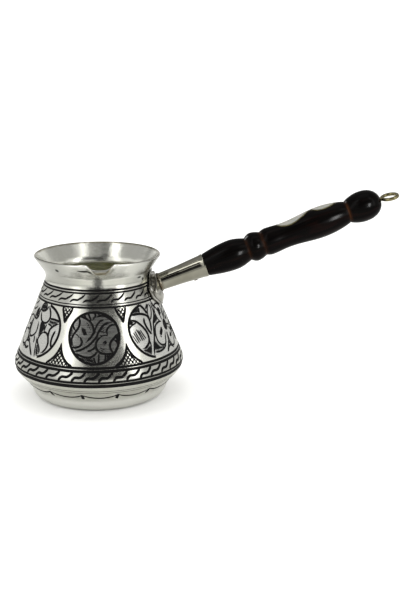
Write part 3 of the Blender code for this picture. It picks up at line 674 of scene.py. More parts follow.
def curled(radius, height, turn):
    """Points of the flared wall, with its edge curled outwards by an angle at each of them."""
    rise, reach = np.array(LIP[:2]) - np.array(NECK[:2])
    up_r, up_z = rise / math.hypot(rise, reach), reach / math.hypot(rise, reach)
    out_r, out_z = up_z, -up_r
    beyond = (radius - LIP[0]) * up_r + (height - LIP[1]) * up_z + SPOUT_CURL_LENGTH
    aside = (radius - LIP[0]) * out_r + (height - LIP[1]) * out_z + WALL / 2
    bend_radius = SPOUT_CURL_LENGTH / np.maximum(turn, 1e-4)
    reached = beyond / bend_radius
    arm = bend_radius - aside
    along = arm * np.sin(reached) - beyond
    outward = bend_radius - arm * np.cos(reached) - aside
    bent = (beyond > 0) & (turn > 1e-3)
    return (
        radius + np.where(bent, along * up_r + outward * out_r, 0),
        height + np.where(bent, along * up_z + outward * out_z, 0),
    )


def pressed(points):
    """Points (x, y, z) of the lip, moved as the spout is pressed out of it and its edge is curled over."""
    x, y, z = points.T
    radius = np.hypot(x, y)
    azimuth = np.arctan2(y, x)
    across = np.abs(azimuth - SPOUT_AZIMUTH) * radius / SPOUT_HALF_WIDTH
    up = np.clip((z - SPOUT_BOTTOM) / (LIP[1] - SPOUT_BOTTOM), 0, None)
    side = np.clip((1 - across) / (1 - SPOUT_FLAT), 0, 1)
    channel = side**2 * (3 - 2 * side)
    shoulder = np.exp(-(((across - 1.15) / 0.35) ** 2))
    out, height = curled(radius, z, SPOUT_CURL * channel)
    out = out + SPOUT_REACH * channel * up**1.3
    height = height + SPOUT_SHOULDER * shoulder * up**2
    return np.stack([out * np.cos(azimuth), out * np.sin(azimuth), height], 1)


def split_rows(outline, longest):
    """The outline's points, with more put in where two are far apart."""
    rows = [outline[0]]
    for before, after in zip(outline, outline[1:]):
        count = max(1, math.ceil(math.dist(before, after) / longest))
        way = np.array(after) - before
        rows += [tuple(before + way * k / count) for k in range(1, count + 1)]
    return rows


def engraved_sheet():
    """The engraved zone as (sheet points, triangles, groove depth at points and at triangles)."""
    laid = laid_out()
    points, edges = [], []
    for line, half, closed in laid:
        left, right = sides_of(line, half, closed)
        for row in (left, line, right):
            first = len(points)
            points += [tuple(p) for p in row]
            count = len(row)
            edges += [(first + k, first + k + 1) for k in range(count - 1)]
            if closed:
                edges.append((first + count - 1, first))
        if not closed:
            total = len(line)
            start = len(points) - 3 * total
            for k in (0, total - 1):
                edges += [(start + k, start + total + k), (start + total + k, start + 2 * total + k)]
    rows = [SHEET_LOW]
    while rows[-1] < SHEET_HIGH - 0.6:
        straight = STRAIGHT_WALL[0] < height_at(rows[-1]) < STRAIGHT_WALL[1]
        rows.append(rows[-1] + (COARSE_ROW if straight else FINE_ROW))
    rows[-1] = SHEET_HIGH
    for index, row in enumerate(rows):
        end_row = index in (0, len(rows) - 1)
        first = len(points)
        step = 1 if end_row else 2
        points += [(SHEET_WIDTH * k / COLUMNS, row) for k in range(0, COLUMNS + 1, step)]
        if end_row:
            edges += [(first + k, first + k + 1) for k in range(COLUMNS)]
    corner = [len(points) + k for k in range(4)]
    points += [(0, SHEET_LOW), (0, SHEET_HIGH), (SHEET_WIDTH, SHEET_LOW), (SHEET_WIDTH, SHEET_HIGH)]
    edges += [(corner[0], corner[1]), (corner[2], corner[3])]
    found = geometry.delaunay_2d_cdt([Vector(p) for p in points], edges, [], 0, 1e-4, False)
    flat = np.array([tuple(v) for v in found[0]])
    triangles = np.array([tuple(f) for f in found[2]])
    middles = flat[triangles].mean(1)
    kept = (middles[:, 0] > 0) & (middles[:, 0] < SHEET_WIDTH)
    kept &= (middles[:, 1] > SHEET_LOW) & (middles[:, 1] < SHEET_HIGH)
    triangles, middles = triangles[kept], middles[kept]
    return flat, triangles, groove(laid, flat), groove(laid, middles)


ROUND_FIELDS = ((-93.0, 1), (2 * NEAR_SIDE + 92.0, -1))
ROUND_FLATNESS = 0.64
LONG_FIELDS = (  # (azimuth of an end, middle of its arc, its radius, azimuth of the field's middle)
    (LEAF_FIELD, (-1.0, 0.5), 13.9, NEAR_SIDE),
    (PETAL_FIELD, (-0.4, 0.7), 13.7, FAR_SIDE - 360),
)


def turned_from(azimuth, middle):
    """How far azimuths (radians) are turned from a middle (degrees), within half a turn each way."""
    return (azimuth - math.radians(middle) + math.pi) % (2 * math.pi) - math.pi


def round_reach(x, y):
    """How far a place lies out in a round field, as a share of the field's half size."""
    return np.sqrt(((x + 0.6) / 12.5) ** 2 + ((y - 0.1) / 12.8) ** 2)


def facing(points):
    """The azimuth that the surface faces: the round fields are beaten nearly flat."""
    azimuth = points[:, 0] / BASE_RADIUS + SEAM
    run = points[:, 1]
    faces = azimuth.copy()
    for middle, mirror in ROUND_FIELDS:
        away = turned_from(azimuth, middle)
        x, y = mirror * away * radius_at(run), run - MIDDLE
        share = np.clip((1.0 - round_reach(x, y)) / 0.06, 0, 1) * ROUND_FLATNESS
        faces -= (away + mirror * math.radians(1.0)) * share
    return faces


def fields_of(points):
    """1 where sheet points lie inside a field, whose ground is matt, and 0 on the polished metal."""
    azimuth = points[:, 0] / BASE_RADIUS + SEAM
    run = points[:, 1]
    matt = np.zeros(len(points), bool)
    for middle, mirror in ROUND_FIELDS:
        away = turned_from(azimuth, middle)
        x, y = mirror * away * radius_at(run), run - MIDDLE
        matt |= round_reach(x, y) < 1
    for end, centre, radius, other in LONG_FIELDS:
        for sign in (1, -1):
            away = turned_from(azimuth, end if sign == 1 else 2 * other - end)
            x, y = sign * away * radius_at(run), run - MIDDLE
            within = (x - centre[0]) ** 2 + (y - centre[1]) ** 2 < radius**2
            inward = 1 if other > end else -1
            half = abs(math.radians(other - end))
            toward = sign * away * inward
            matt |= within & (toward < half)
            matt |= (toward > 0) & (toward < half + 0.02) & (np.abs(y) < 14.4)
    return matt & (np.abs(run - MIDDLE) < 14.5)


def build_pot():
    """The pot as one closed mesh: the engraved wall, the foot below it, and the lip, inside and rim."""
    flat, triangles, depth, black = engraved_sheet()
    azimuth = flat[:, 0] / BASE_RADIUS + SEAM
    radius, height = radius_at(flat[:, 1]), height_at(flat[:, 1])
    step = 0.2
    rise = (height_at(flat[:, 1] + step) - height_at(flat[:, 1] - step)) / (2 * step)
    flare = (radius_at(flat[:, 1] + step) - radius_at(flat[:, 1] - step)) / (2 * step)
    length = np.hypot(rise, flare)
    out_r, out_z = rise / length, -flare / length
    sunk = np.clip(depth, 0, None) * GROOVE_DEPTH
    ring = np.stack([np.cos(azimuth), np.sin(azimuth)], 1)
    engraved = np.column_stack([ring * (radius - sunk * out_r)[:, None], height - sunk * out_z])
    faces_to = facing(flat)
    normals = np.column_stack([np.cos(faces_to) * out_r, np.sin(faces_to) * out_r, out_z])
    matt = fields_of(flat).astype(float)

    outer_low = [(r, z) for r, z in OUTER if z < SHEET_BOTTOM - 0.3]
    low_ring = (float(radius_at(SHEET_LOW)), float(height_at(SHEET_LOW)))
    high_ring = (float(radius_at(SHEET_HIGH)), float(height_at(SHEET_HIGH)))
    below = split_rows(outer_low + [low_ring], 1.2)[1:]
    outside = [high_ring] + [(r, z) for r, z in OUTER if z > high_ring[1] + 0.2]
    inside_line = filleted(offset_corners(OUTSIDE, WALL))
    middle = (Vector(outside[-1]) + Vector(inside_line[-1])) / 2
    start = Vector(outside[-1]) - middle
    rim = [tuple(middle + Matrix.Rotation(math.pi * k / 10, 2) @ start) for k in range(1, 10)]
    upper_wall = split_rows(outside, 0.5)
    above = upper_wall + rim + split_rows(inside_line[::-1], 0.9)[:-1]

    vertices = [engraved]
    faces = [tuple(t) for t in triangles]
    base = len(engraved)
    turns = np.arange(COLUMNS) * 2 * math.pi / COLUMNS + SEAM
    for outline in (below, above):
        for r, z in outline:
            vertices.append(np.column_stack([r * np.cos(turns), r * np.sin(turns), np.full(COLUMNS, z)]))
        for row in range(len(outline) - 1):
            for k in range(COLUMNS):
                n = (k + 1) % COLUMNS
                lower, upper = base + row * COLUMNS, base + (row + 1) * COLUMNS
                faces.append((lower + k, lower + n, upper + n, upper + k))
        base += len(outline) * COLUMNS
    vertices.append(np.array([(0, 0, 0), (0, 0, WALL)], float))
    first_below, last_above = len(engraved), base - COLUMNS
    for k in range(COLUMNS):
        n = (k + 1) % COLUMNS
        faces.append((base, first_below + n, first_below + k))
        faces.append((base + 1, last_above + k, last_above + n))
    points = np.vstack(vertices)
    lip = (points[:, 2] > SPOUT_BOTTOM) & (np.hypot(points[:, 0], points[:, 1]) > NECK[0] / 2)
    points[lip] = pressed(points[lip])

    bm = bmesh.new()
    matt_layer = bm.verts.layers.float.new("matt")
    inner_layer = bm.verts.layers.float.new("inner")
    rim_layer = bm.verts.layers.float.new("rim")
    normal_layer = bm.verts.layers.float_vector.new("true_normal")
    made = [bm.verts.new(p * MM) for p in points]
    for index in range(len(engraved)):
        made[index][matt_layer] = matt[index]
        made[index][normal_layer] = normals[index]
    first_rim = len(engraved) + (len(below) + len(upper_wall)) * COLUMNS
    last_rim = first_rim + len(rim) * COLUMNS
    for index in range(first_rim, len(points)):
        made[index][rim_layer] = 1.0 if first_rim + 4 * COLUMNS <= index < last_rim + COLUMNS else 0.0
        made[index][inner_layer] = 1.0 if index >= last_rim else 0.0
    made[base][inner_layer] = 0.0
    for index, corners in enumerate(faces):
        face = bm.faces.new([made[k] for k in corners])
        face.smooth = True
        if index < len(triangles) and black[index] > 0:
            face.material_index = 1
            face.smooth = False
    bmesh.ops.delete(bm, geom=[v for v in bm.verts if not v.link_faces], context="VERTS")
    bmesh.ops.remove_doubles(bm, verts=bm.verts, dist=2e-6)
    bmesh.ops.recalc_face_normals(bm, faces=bm.faces)
    mesh = bpy.data.meshes.new("pot")
    bm.to_mesh(mesh)
    bm.free()
    true = np.zeros(len(mesh.vertices) * 3)
    mesh.attributes["true_normal"].data.foreach_get("vector", true)
    true = true.reshape(-1, 3)
    corner_normals = np.zeros((len(mesh.loops), 3))
    for polygon in mesh.polygons:
        ids = list(polygon.vertices)
        if polygon.material_index == 0 and all(abs(true[k]).sum() > 0.5 for k in ids):
            for loop, k in zip(polygon.loop_indices, ids):
                corner_normals[loop] = true[k]
    mesh.normals_split_custom_set([tuple(n) for n in corner_normals])
    mesh.attributes.remove(mesh.attributes["true_normal"])
    return mesh


# ---- materials -----------------------------------------------------------------------------------


class Nodes:
    """Adds nodes to a tree. A value may be a number, a colour or another node's output."""

    def __init__(self, tree):
        self.tree = tree

    def add(self, kind, **settings):
        """A new node with some of its settings."""
        node = self.tree.nodes.new("ShaderNode" + kind)
        for name, value in settings.items():
            setattr(node, name, value)
        return node

    def feed(self, socket, value):
        """Gives a socket a value."""
        if isinstance(value, bpy.types.NodeSocket):
            self.tree.links.new(value, socket)
        elif isinstance(value, tuple):
            socket.default_value = (*value, 1)
        else:
            socket.default_value = value

    def math(self, kind, first, second=0.0):
        """One step of arithmetic."""
        node = self.add("Math", operation=kind)
        self.feed(node.inputs[0], first)
        self.feed(node.inputs[1], second)
        return node.outputs[0]

    def times(self, first, second):
        """The product of two values."""
        return self.math("MULTIPLY", first, second)

    def range(self, value, low, high, to_low=0.0, to_high=1.0, kind="LINEAR"):
        """A value between low and high, brought to the range from to_low to to_high."""
        node = self.add("MapRange", interpolation_type=kind)
        ends = {"Value": value, "From Min": low, "From Max": high, "To Min": to_low, "To Max": to_high}
        for name, end in ends.items():
            self.feed(node.inputs[name], end)
        return node.outputs["Result"]

    def mix(self, share, first, second):
        """The colour that lies a share of the way from the first to the second."""
        node = self.add("Mix", data_type="RGBA")
        for name, value in (("Factor", share), ("A", first), ("B", second)):
            self.feed(node.inputs[name], value)
        return node.outputs["Result"]


class Look(Nodes):
    """A node material, built up step by step. Its patterns are laid out over the attribute "place"."""

    def __init__(self, name, **inputs):
        self.material = bpy.data.materials.new(name)
        self.material.use_nodes = True
        super().__init__(self.material.node_tree)
        self.shader = self.tree.nodes["Principled BSDF"]
        self.place = self.add("Attribute", attribute_name="place").outputs["Vector"]
        for key, value in inputs.items():
            self.set(key.replace("_", " "), value)

    def set(self, name, value):
        """Feeds an input of the shader."""
        self.feed(self.shader.inputs[name], value)

    def mapped(self, scale, offset=(0, 0, 0), rotation=(0, 0, 0)):
        """The place, scaled, moved and turned."""
        node = self.add("Mapping")
        for name, value in (("Scale", scale), ("Location", offset), ("Rotation", rotation)):
            node.inputs[name].default_value = value
        self.feed(node.inputs["Vector"], self.place)
        return node.outputs["Vector"]

    def noise(self, scale, detail=3.0, where=None, distortion=0.0):
        """Cloudy noise, from 0 to 1."""
        node = self.add("TexNoise")
        settings = {"Scale": scale, "Detail": detail, "Roughness": 0.55, "Distortion": distortion}
        for name, value in settings.items():
            self.feed(node.inputs[name], value)
        self.feed(node.inputs["Vector"], where or self.place)
        return node.outputs["Fac"]

    def cracks(self, scale, where):
        """The distance to the edge of the nearest cell."""
        node = self.add("TexVoronoi", feature="DISTANCE_TO_EDGE")
        self.feed(node.inputs["Scale"], scale)
        self.feed(node.inputs["Vector"], where)
        return node.outputs["Distance"]

    def attribute(self, name):
        """A number that the mesh holds at its vertices."""
        return self.add("Attribute", attribute_name=name).outputs["Fac"]

    def ramp(self, value, *stops):
        """stops are (position, grey or colour)."""
        node = self.add("ValToRGB")
        elements = node.color_ramp.elements
        while len(elements) < len(stops):
            elements.new(0.5)
        for element, (position, shade) in zip(elements, stops):
            element.position = position
            element.color = (*shade, 1) if isinstance(shade, tuple) else (shade, shade, shade, 1)
        self.feed(node.inputs["Fac"], value)
        return node.outputs["Color"]

    def height(self):
        """The place's Z, in metres."""
        node = self.add("SeparateXYZ")
        self.feed(node.inputs[0], self.place)
        return node.outputs["Z"]

    def above(self, low, high):
        """0 at one height (mm) and beyond it, and 1 at the other."""
        return self.range(self.height(), low * MM, high * MM)

    def around(self):
        """The azimuth round Z as a share of a turn, from 0 at the back of X to 1."""
        node = self.add("TexGradient", gradient_type="RADIAL")
        self.feed(node.inputs["Vector"], self.place)
        return node.outputs["Fac"]

    def polar(self, turns, height_scale):
        """Coordinates (azimuth, height), for streaks that run round the wall or up it."""
        node = self.add("CombineXYZ")
        self.feed(node.inputs["X"], self.times(self.around(), turns))
        self.feed(node.inputs["Y"], self.times(self.height(), height_scale))
        return node.outputs[0]

    def spot(self, place, size, fade):
        """1 within a small ellipsoid round a place (mm), broken up and fading at its edge."""
        scale = tuple(1 / (half * MM) for half in size)
        offset = tuple(-middle / half for middle, half in zip(place, size))
        node = self.add("VectorMath", operation="LENGTH")
        self.feed(node.inputs[0], self.mapped(scale, offset))
        distance = self.math("ADD", node.outputs["Value"], self.times(self.noise(900, 2), 0.8))
        return self.range(distance, 1.5, 1.5 - fade)

    def bump(self, *layers):
        """layers are (height, strength, distance in metres)."""
        normal = None
        for height, strength, distance in layers:
            node = self.add("Bump")
            for name, value in (("Strength", strength), ("Distance", distance), ("Height", height)):
                self.feed(node.inputs[name], value)
            if normal is not None:
                self.feed(node.inputs["Normal"], normal)
            normal = node.outputs["Normal"]
        self.set("Normal", normal)


DARK_MARKS = (  # dark marks on the metal, as (place, half sizes) in mm
    ((-20.2, -22.7, 70.3), (1.1, 1.1, 0.95)),
    ((-6.9, -30.2, 71.3), (3.2, 2.0, 0.55)),
    ((-3.6, -30.0, 70.9), (1.2, 2.0, 0.55)),
    ((20.6, -17.2, 65.2), (1.3, 1.6, 0.5)),
    ((22.6, -14.8, 63.8), (0.6, 1.4, 0.9)),
)
SPOUT_REFLECTION_PLACE = (-0.1, -27.0, 64.6)  # where a dark reflection is painted under the spout
SPOUT_REFLECTION_SIZE = (3.0, 7.0, 3.9)
FRONT = 0.266  # the azimuth of the pot's front, where a highlight is painted on the flare, as a share of a turn from -X


def silver_tones(look, clouds, streaks):
    """The silver's colour: cloudy and streaked, with tarnish, greyer bands, painted shade on the flare's
    sides, a painted highlight at its front, a painted dark reflection under the spout and painted light on
    the foot.
    """
    colour = look.ramp(clouds, (0.3, (0.60, 0.60, 0.54)), (0.7, (0.70, 0.70, 0.65)))
    colour = look.mix(look.range(streaks, 0.35, 0.8, 0.0, 0.3), colour, (0.54, 0.54, 0.47))
    spots = look.ramp(look.noise(420, 2), (0.72, 0.0), (0.78, 1.0))
    colour = look.mix(look.times(spots, 0.55), colour, (0.28, 0.27, 0.24))
    tarnish = look.ramp(look.noise(16, 4, distortion=0.6), (0.45, 0.0), (0.75, 1.0))
    colour = look.mix(look.times(tarnish, 0.25), colour, (0.50, 0.49, 0.40))
    outer = look.math("SUBTRACT", 1.0, look.attribute("inner"))
    aside = look.math("ABSOLUTE", look.math("SUBTRACT", look.around(), FRONT))
    # Painted shade: the flare is darkened on its sides, away from the front.
    painted_flare_shade = look.times(look.times(outer, look.above(61.8, 64.0)), look.range(aside, 0.06, 0.11))
    colour = look.mix(painted_flare_shade, colour, (0.44, 0.44, 0.41))
    # Painted highlight: the flare is lightened at the front, near the lip.
    painted_front_highlight = look.times(look.times(outer, look.above(65.5, 66.8)), look.range(aside, 0.13, 0.06, 0.0, 0.8))
    colour = look.mix(painted_front_highlight, colour, (0.93, 0.93, 0.88))
    # Painted reflection: a dark patch on the wall under the spout.
    painted_spout_reflection = look.times(outer, look.spot(SPOUT_REFLECTION_PLACE, SPOUT_REFLECTION_SIZE, 0.7))
    colour = look.mix(look.times(painted_spout_reflection, 0.92), colour, (0.09, 0.09, 0.085))
    # The bands are greyed in clouds, less so at the front.
    upper_band = look.times(look.above(52.5, 53.5), look.above(61.5, 60.5))
    lower_band = look.times(look.above(16.0, 17.2), look.above(26.2, 25.0))
    in_band = look.math("ADD", upper_band, lower_band)
    greyed = look.times(in_band, look.range(clouds, 0.35, 0.65, 0.45, 0.85))
    greyed = look.times(greyed, look.range(aside, 0.02, 0.06, 0.4, 1.0))
    colour = look.mix(greyed, colour, (0.31, 0.31, 0.29))
    # Painted light: the foot is lightened below about 6 mm.
    colour = look.mix(look.times(look.above(8.5, 6.2), 0.8), colour, (0.88, 0.88, 0.85))
    return colour, tarnish


def silver_look():
    """Worn silver plate: spun and scratched, matt inside the fields, stained inside the pot."""
    look = Look("engraved_silver")
    matt = look.attribute("matt")
    clouds = look.noise(45, 5)
    colour, tarnish = silver_tones(look, clouds, look.noise(1.0, 3, look.polar(70, 25)))
    engraver = look.noise(1.0, 3, look.mapped((2600, 900, 2600), rotation=(0.4, 0.9, 0.2)))
    ground = look.ramp(engraver, (0.3, (0.43, 0.43, 0.41)), (0.7, (0.62, 0.62, 0.59)))
    colour = look.mix(matt, colour, ground)
    tide = look.math("ADD", look.height(), look.times(look.noise(60, 3), 0.006))
    stain = look.times(look.range(tide, 0.067, 0.058), look.attribute("inner"))
    colour = look.mix(stain, colour, (0.50, 0.50, 0.29))
    look.set("Metallic", look.math("SUBTRACT", 1.0, look.times(stain, 0.6)))
    patchy = look.range(look.noise(300, 3), 0.35, 0.6, 0.35, 1.0)
    colour = look.mix(look.times(look.attribute("rim"), patchy), colour, (0.27, 0.245, 0.17))
    for place, size in DARK_MARKS:
        dark_mark = look.spot(place, size, 0.25)
        colour = look.mix(look.times(dark_mark, 0.95), colour, (0.012, 0.011, 0.010))
    look.set("Base Color", colour)
    cells = look.cracks(9, look.mapped((30, 900, 60), rotation=(0.3, 0.2, 0.5)))
    scratches = look.ramp(cells, (0.0, 1.0), (0.012, 0.0))
    rough = look.range(look.noise(1.0, 4, look.polar(6, 5200)), 0.3, 0.7, 0.15, 0.24)
    for layer, more in ((tarnish, 0.06), (matt, 0.08), (scratches, 0.12), (stain, 0.25)):
        rough = look.math("ADD", rough, look.times(layer, more))
    look.set("Roughness", rough)
    look.bump(
        (look.noise(1.0, 2, look.polar(9, 1900)), 0.10, 0.0002),
        (look.noise(95, 2), 0.16, 0.0012),
        (scratches, 0.08, 0.0001),
        (look.times(engraver, matt), 0.05, 0.0002),
    )
    return look.material


def niello_look():
    """The blackened floor of the engraved lines."""
    look = Look("blackened_groove", Metallic=0.0, Specular_IOR_Level=0.12)
    grain = look.noise(2600, 3)
    soot = look.ramp(grain, (0.35, (0.0015, 0.0015, 0.002)), (0.75, (0.009, 0.0085, 0.008)))
    look.set("Base Color", soot)
    look.set("Roughness", look.range(grain, 0.3, 0.7, 0.45, 0.7))
    look.bump((grain, 0.2, 0.0001))
    return look.material


def cast_silver_look():
    """A dull casting with patchy dirt, painted shade along the boss's edge and the plate's rim, and solder
    round the ferrule's seat.
    """
    look = Look("cast_silver", Metallic=1.0)
    clouds = look.noise(160, 4)
    colour = look.ramp(clouds, (0.3, (0.37, 0.365, 0.335)), (0.7, (0.50, 0.495, 0.465)))
    dirt = look.ramp(look.noise(75, 4), (0.45, 0.0), (0.7, 1.0))
    colour = look.mix(look.times(dirt, 0.5), colour, (0.15, 0.135, 0.09))
    patchy = look.range(look.noise(380, 4), 0.3, 0.6, 0.55, 1.0)
    brazed = look.times(look.attribute("brazed"), patchy)
    colour = look.mix(brazed, colour, (0.13, 0.10, 0.05))
    # Painted shade: near-black along the boss's edge and the plate's rim.
    look.set("Base Color", look.mix(look.attribute("edge"), colour, (0.035, 0.03, 0.022)))
    rough = look.range(clouds, 0.3, 0.7, 0.12, 0.22)
    look.set("Roughness", look.math("ADD", rough, look.times(brazed, 0.12)))
    look.bump(
        (look.noise(240, 2), 0.08, 0.0006),
        (look.noise(1500, 2), 0.06, 0.0001),
        (look.times(look.noise(520, 3), brazed), 0.5, 0.0009),
    )
    return look.material


def nickel_look():
    """Nickel plate, drawn lengthwise, with a dark seam where it starts."""
    look = Look("nickel_plate", Metallic=1.0)
    lengthwise = look.noise(1.0, 4, look.mapped((2400, 2400, 60)))
    colour = look.ramp(look.noise(90, 4), (0.3, (0.27, 0.26, 0.21)), (0.75, (0.36, 0.35, 0.295)))
    patchy = look.range(look.noise(500, 3), 0.3, 0.6, 0.35, 1.0)
    seam = look.times(look.above(2.6, 0.6), patchy)
    look.set("Base Color", look.mix(seam, colour, (0.10, 0.075, 0.045)))
    rough = look.range(lengthwise, 0.3, 0.7, 0.05, 0.10)
    look.set("Roughness", look.math("ADD", rough, look.times(seam, 0.3)))
    look.bump((lengthwise, 0.08, 0.00012), (look.noise(140, 2), 0.08, 0.0006))
    return look.material


def wood_look():
    """Near-black lacquered wood, with a little red in its rings and bare wood in its worn grooves."""
    look = Look("lacquered_wood")
    grain = look.noise(1.0, 5, look.mapped((900, 900, 45)), distortion=0.4)
    rings = look.noise(1.0, 3, look.mapped((230, 230, 16)), distortion=1.2)
    colour = look.ramp(grain, (0.35, (0.0009, 0.0008, 0.0008)), (0.8, (0.0018, 0.0013, 0.0011)))
    colour = look.mix(look.range(rings, 0.55, 0.80, 0.0, 0.7), colour, (0.0060, 0.0017, 0.0012))
    patchy = look.range(look.noise(260, 3), 0.3, 0.65, 0.2, 1.0)
    worn = look.times(look.attribute("worn"), patchy)
    look.set("Base Color", look.mix(worn, colour, (0.027, 0.0092, 0.0030)))
    look.set("Specular IOR Level", look.range(rings, 0.3, 0.7, 0.030, 0.045))
    rough = look.range(grain, 0.3, 0.75, 0.15, 0.22)
    look.set("Roughness", look.math("ADD", rough, look.times(worn, 0.2)))
    look.bump((grain, 0.06, 0.0002), (look.noise(120, 2), 0.10, 0.0006))
    return look.material


def pearl_look():
    """Mother-of-pearl: grey layers with a faint play of colour."""
    look = Look("mother_of_pearl", Metallic=0.0, Specular_IOR_Level=0.4)
    layers = look.noise(1.0, 3, look.mapped((420, 420, 150), rotation=(0.5, 0.3, 0)), distortion=1.4)
    colour = look.ramp(
        layers,
        (0.30, (0.19, 0.19, 0.165)),
        (0.42, (0.31, 0.31, 0.265)),
        (0.50, (0.24, 0.26, 0.24)),
        (0.58, (0.34, 0.31, 0.275)),
        (0.70, (0.25, 0.245, 0.23)),
    )
    look.set("Base Color", colour)
    look.set("Roughness", look.range(layers, 0.3, 0.7, 0.16, 0.3))
    look.set("Thin Film Thickness", look.range(layers, 0.3, 0.7, 260.0, 520.0))
    look.bump((layers, 0.06, 0.0002))
    return look.material


def brass_look(name, dull=0.0):
    """Brass wire with dirt on it."""
    look = Look(name, Metallic=1.0)
    clouds = look.noise(420, 4)
    colour = look.ramp(clouds, (0.3, (0.20, 0.175, 0.085)), (0.75, (0.36, 0.325, 0.18)))
    dirt = look.ramp(look.noise(170, 4), (0.42, 0.0), (0.72, 1.0))
    look.set("Base Color", look.mix(look.times(dirt, 0.6 + dull), colour, (0.055, 0.05, 0.022)))
    look.set("Roughness", look.range(clouds, 0.3, 0.7, 0.16 + dull / 2, 0.26 + dull / 2))
    look.bump((look.noise(900, 3), 0.15, 0.0001))
    return look.material


# ---- pieces --------------------------------------------------------------------------------------


def piece(name, mesh, materials, nodes, body="pot", matrix=None):
    """A piece that stands for CAD nodes. The matrix moves its mesh; its looks stay where it was made."""
    made = bpy.data.objects.new(name, mesh)
    bpy.context.scene.collection.objects.link(made)
    for look in materials:
        mesh.materials.append(look)
    corners = np.empty(3 * len(mesh.vertices), np.float32)
    mesh.vertices.foreach_get("co", corners)
    mesh.attributes.new("place", "FLOAT_VECTOR", "POINT").data.foreach_set("vector", corners)
    if matrix is not None:
        mesh.transform(matrix)
    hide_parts(*nodes)
    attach(made, body)
    return made


def metres(matrix):
    """A matrix in mm as one whose place is in metres."""
    scaled = matrix.copy()
    scaled.translation = matrix.translation * MM
    return scaled


def finished(bm, name, sharp=40):
    """A smooth-shaded mesh, with edges sharper than an angle (degrees) kept sharp."""
    bmesh.ops.recalc_face_normals(bm, faces=bm.faces)
    mesh = bpy.data.meshes.new(name)
    bm.to_mesh(mesh)
    bm.free()
    mesh.shade_smooth()
    mesh.set_sharp_from_angle(angle=math.radians(sharp))
    return mesh


def join_rings(bm, rings):
    """Faces between each ring of vertices and the next."""
    for lower, upper in zip(rings, rings[1:]):
        for index in range(len(lower)):
            following = (index + 1) % len(lower)
            bm.faces.new((lower[index], lower[following], upper[following], upper[index]))


def ring_of(bm, radius, height, sides):
    """Vertices of a level ring round Z, from mm. A radius of 0 gives a single one."""
    turns = [2 * math.pi * k / sides for k in range(sides if radius > 0 else 1)]
    spokes = [(radius * math.cos(turn) * MM, radius * math.sin(turn) * MM) for turn in turns]
    return [bm.verts.new((x, y, height * MM)) for x, y in spokes]


def lathe(outline, sides):
    """A solid turned about Z from (radius, height) points in mm. A radius of 0 closes it on the axis."""
    bm = bmesh.new()
    rings = [ring_of(bm, radius, height, sides) for radius, height in outline]
    for lower, upper in zip(rings, rings[1:]):
        for index in range(sides):
            following = (index + 1) % sides
            corners = [lower[index % len(lower)], lower[following % len(lower)]]
            corners += [upper[following % len(upper)], upper[index % len(upper)]]
            bm.faces.new(list(dict.fromkeys(corners)))
    return bm


def tube(outline, sides):
    """A ring turned about Z from a closed loop of (radius, height) points in mm."""
    bm = bmesh.new()
    rings = [ring_of(bm, radius, height, sides) for radius, height in outline]
    join_rings(bm, rings + rings[:1])
    return bm


def slab(surface, rows, columns):
    """A closed slab between two skins, laid out by surface(row, column, side) in mm, side 0 or 1."""
    bm = bmesh.new()

    def line(row, side):
        return [bm.verts.new(surface(row, column, side) * MM) for column in range(columns)]

    skins = [[line(row, side) for row in range(rows)] for side in (0, 1)]
    for skin in skins:
        for near, far in zip(skin, skin[1:]):
            for column in range(columns - 1):
                bm.faces.new((near[column], near[column + 1], far[column + 1], far[column]))
    border = [(0, column) for column in range(columns)]
    border += [(row, columns - 1) for row in range(1, rows)]
    border += [(rows - 1, column) for column in range(columns - 2, -1, -1)]
    border += [(row, 0) for row in range(rows - 2, 0, -1)]
    join_rings(bm, [[skin[row][column] for row, column in border] for skin in skins])
    return bm


PLATE_OUTLINE = (  # (half width, height, fillet), as all the bracket's outlines
    (0.0, 47.0, 0.0), (9.6, 48.6, 3.0), (14.8, 53.4, 3.0), (14.6, 58.0, 2.0),
    (8.8, 62.0, 2.5), (7.4, 66.4, 2.0), (0.0, 66.4, 0.0),
)
BOSS_OUTLINE = (
    (0.0, 47.4, 0.0), (8.0, 49.6, 4.0), (13.4, 54.8, 3.5),
    (5.2, 62.0, 2.0), (4.6, 63.6, 0.5), (0.0, 63.6, 0.0),
)
PLATE_THICKNESS = 0.9
BOSS_EDGE = 0.7
BOSS_CROWN = 2.2
BOSS_THICKEST = 56.0
COLLAR_RADIUS = 5.2
SEAT_RADIUS = 7.0
PLATE_CURVE = np.array(filleted(PLATE_OUTLINE))
BOSS_CURVE = np.array(filleted(BOSS_OUTLINE))


def half_width(curve, height):
    """The width of half an outline of the bracket at a height."""
    return float(np.interp(height, curve[:, 1], curve[:, 0]))


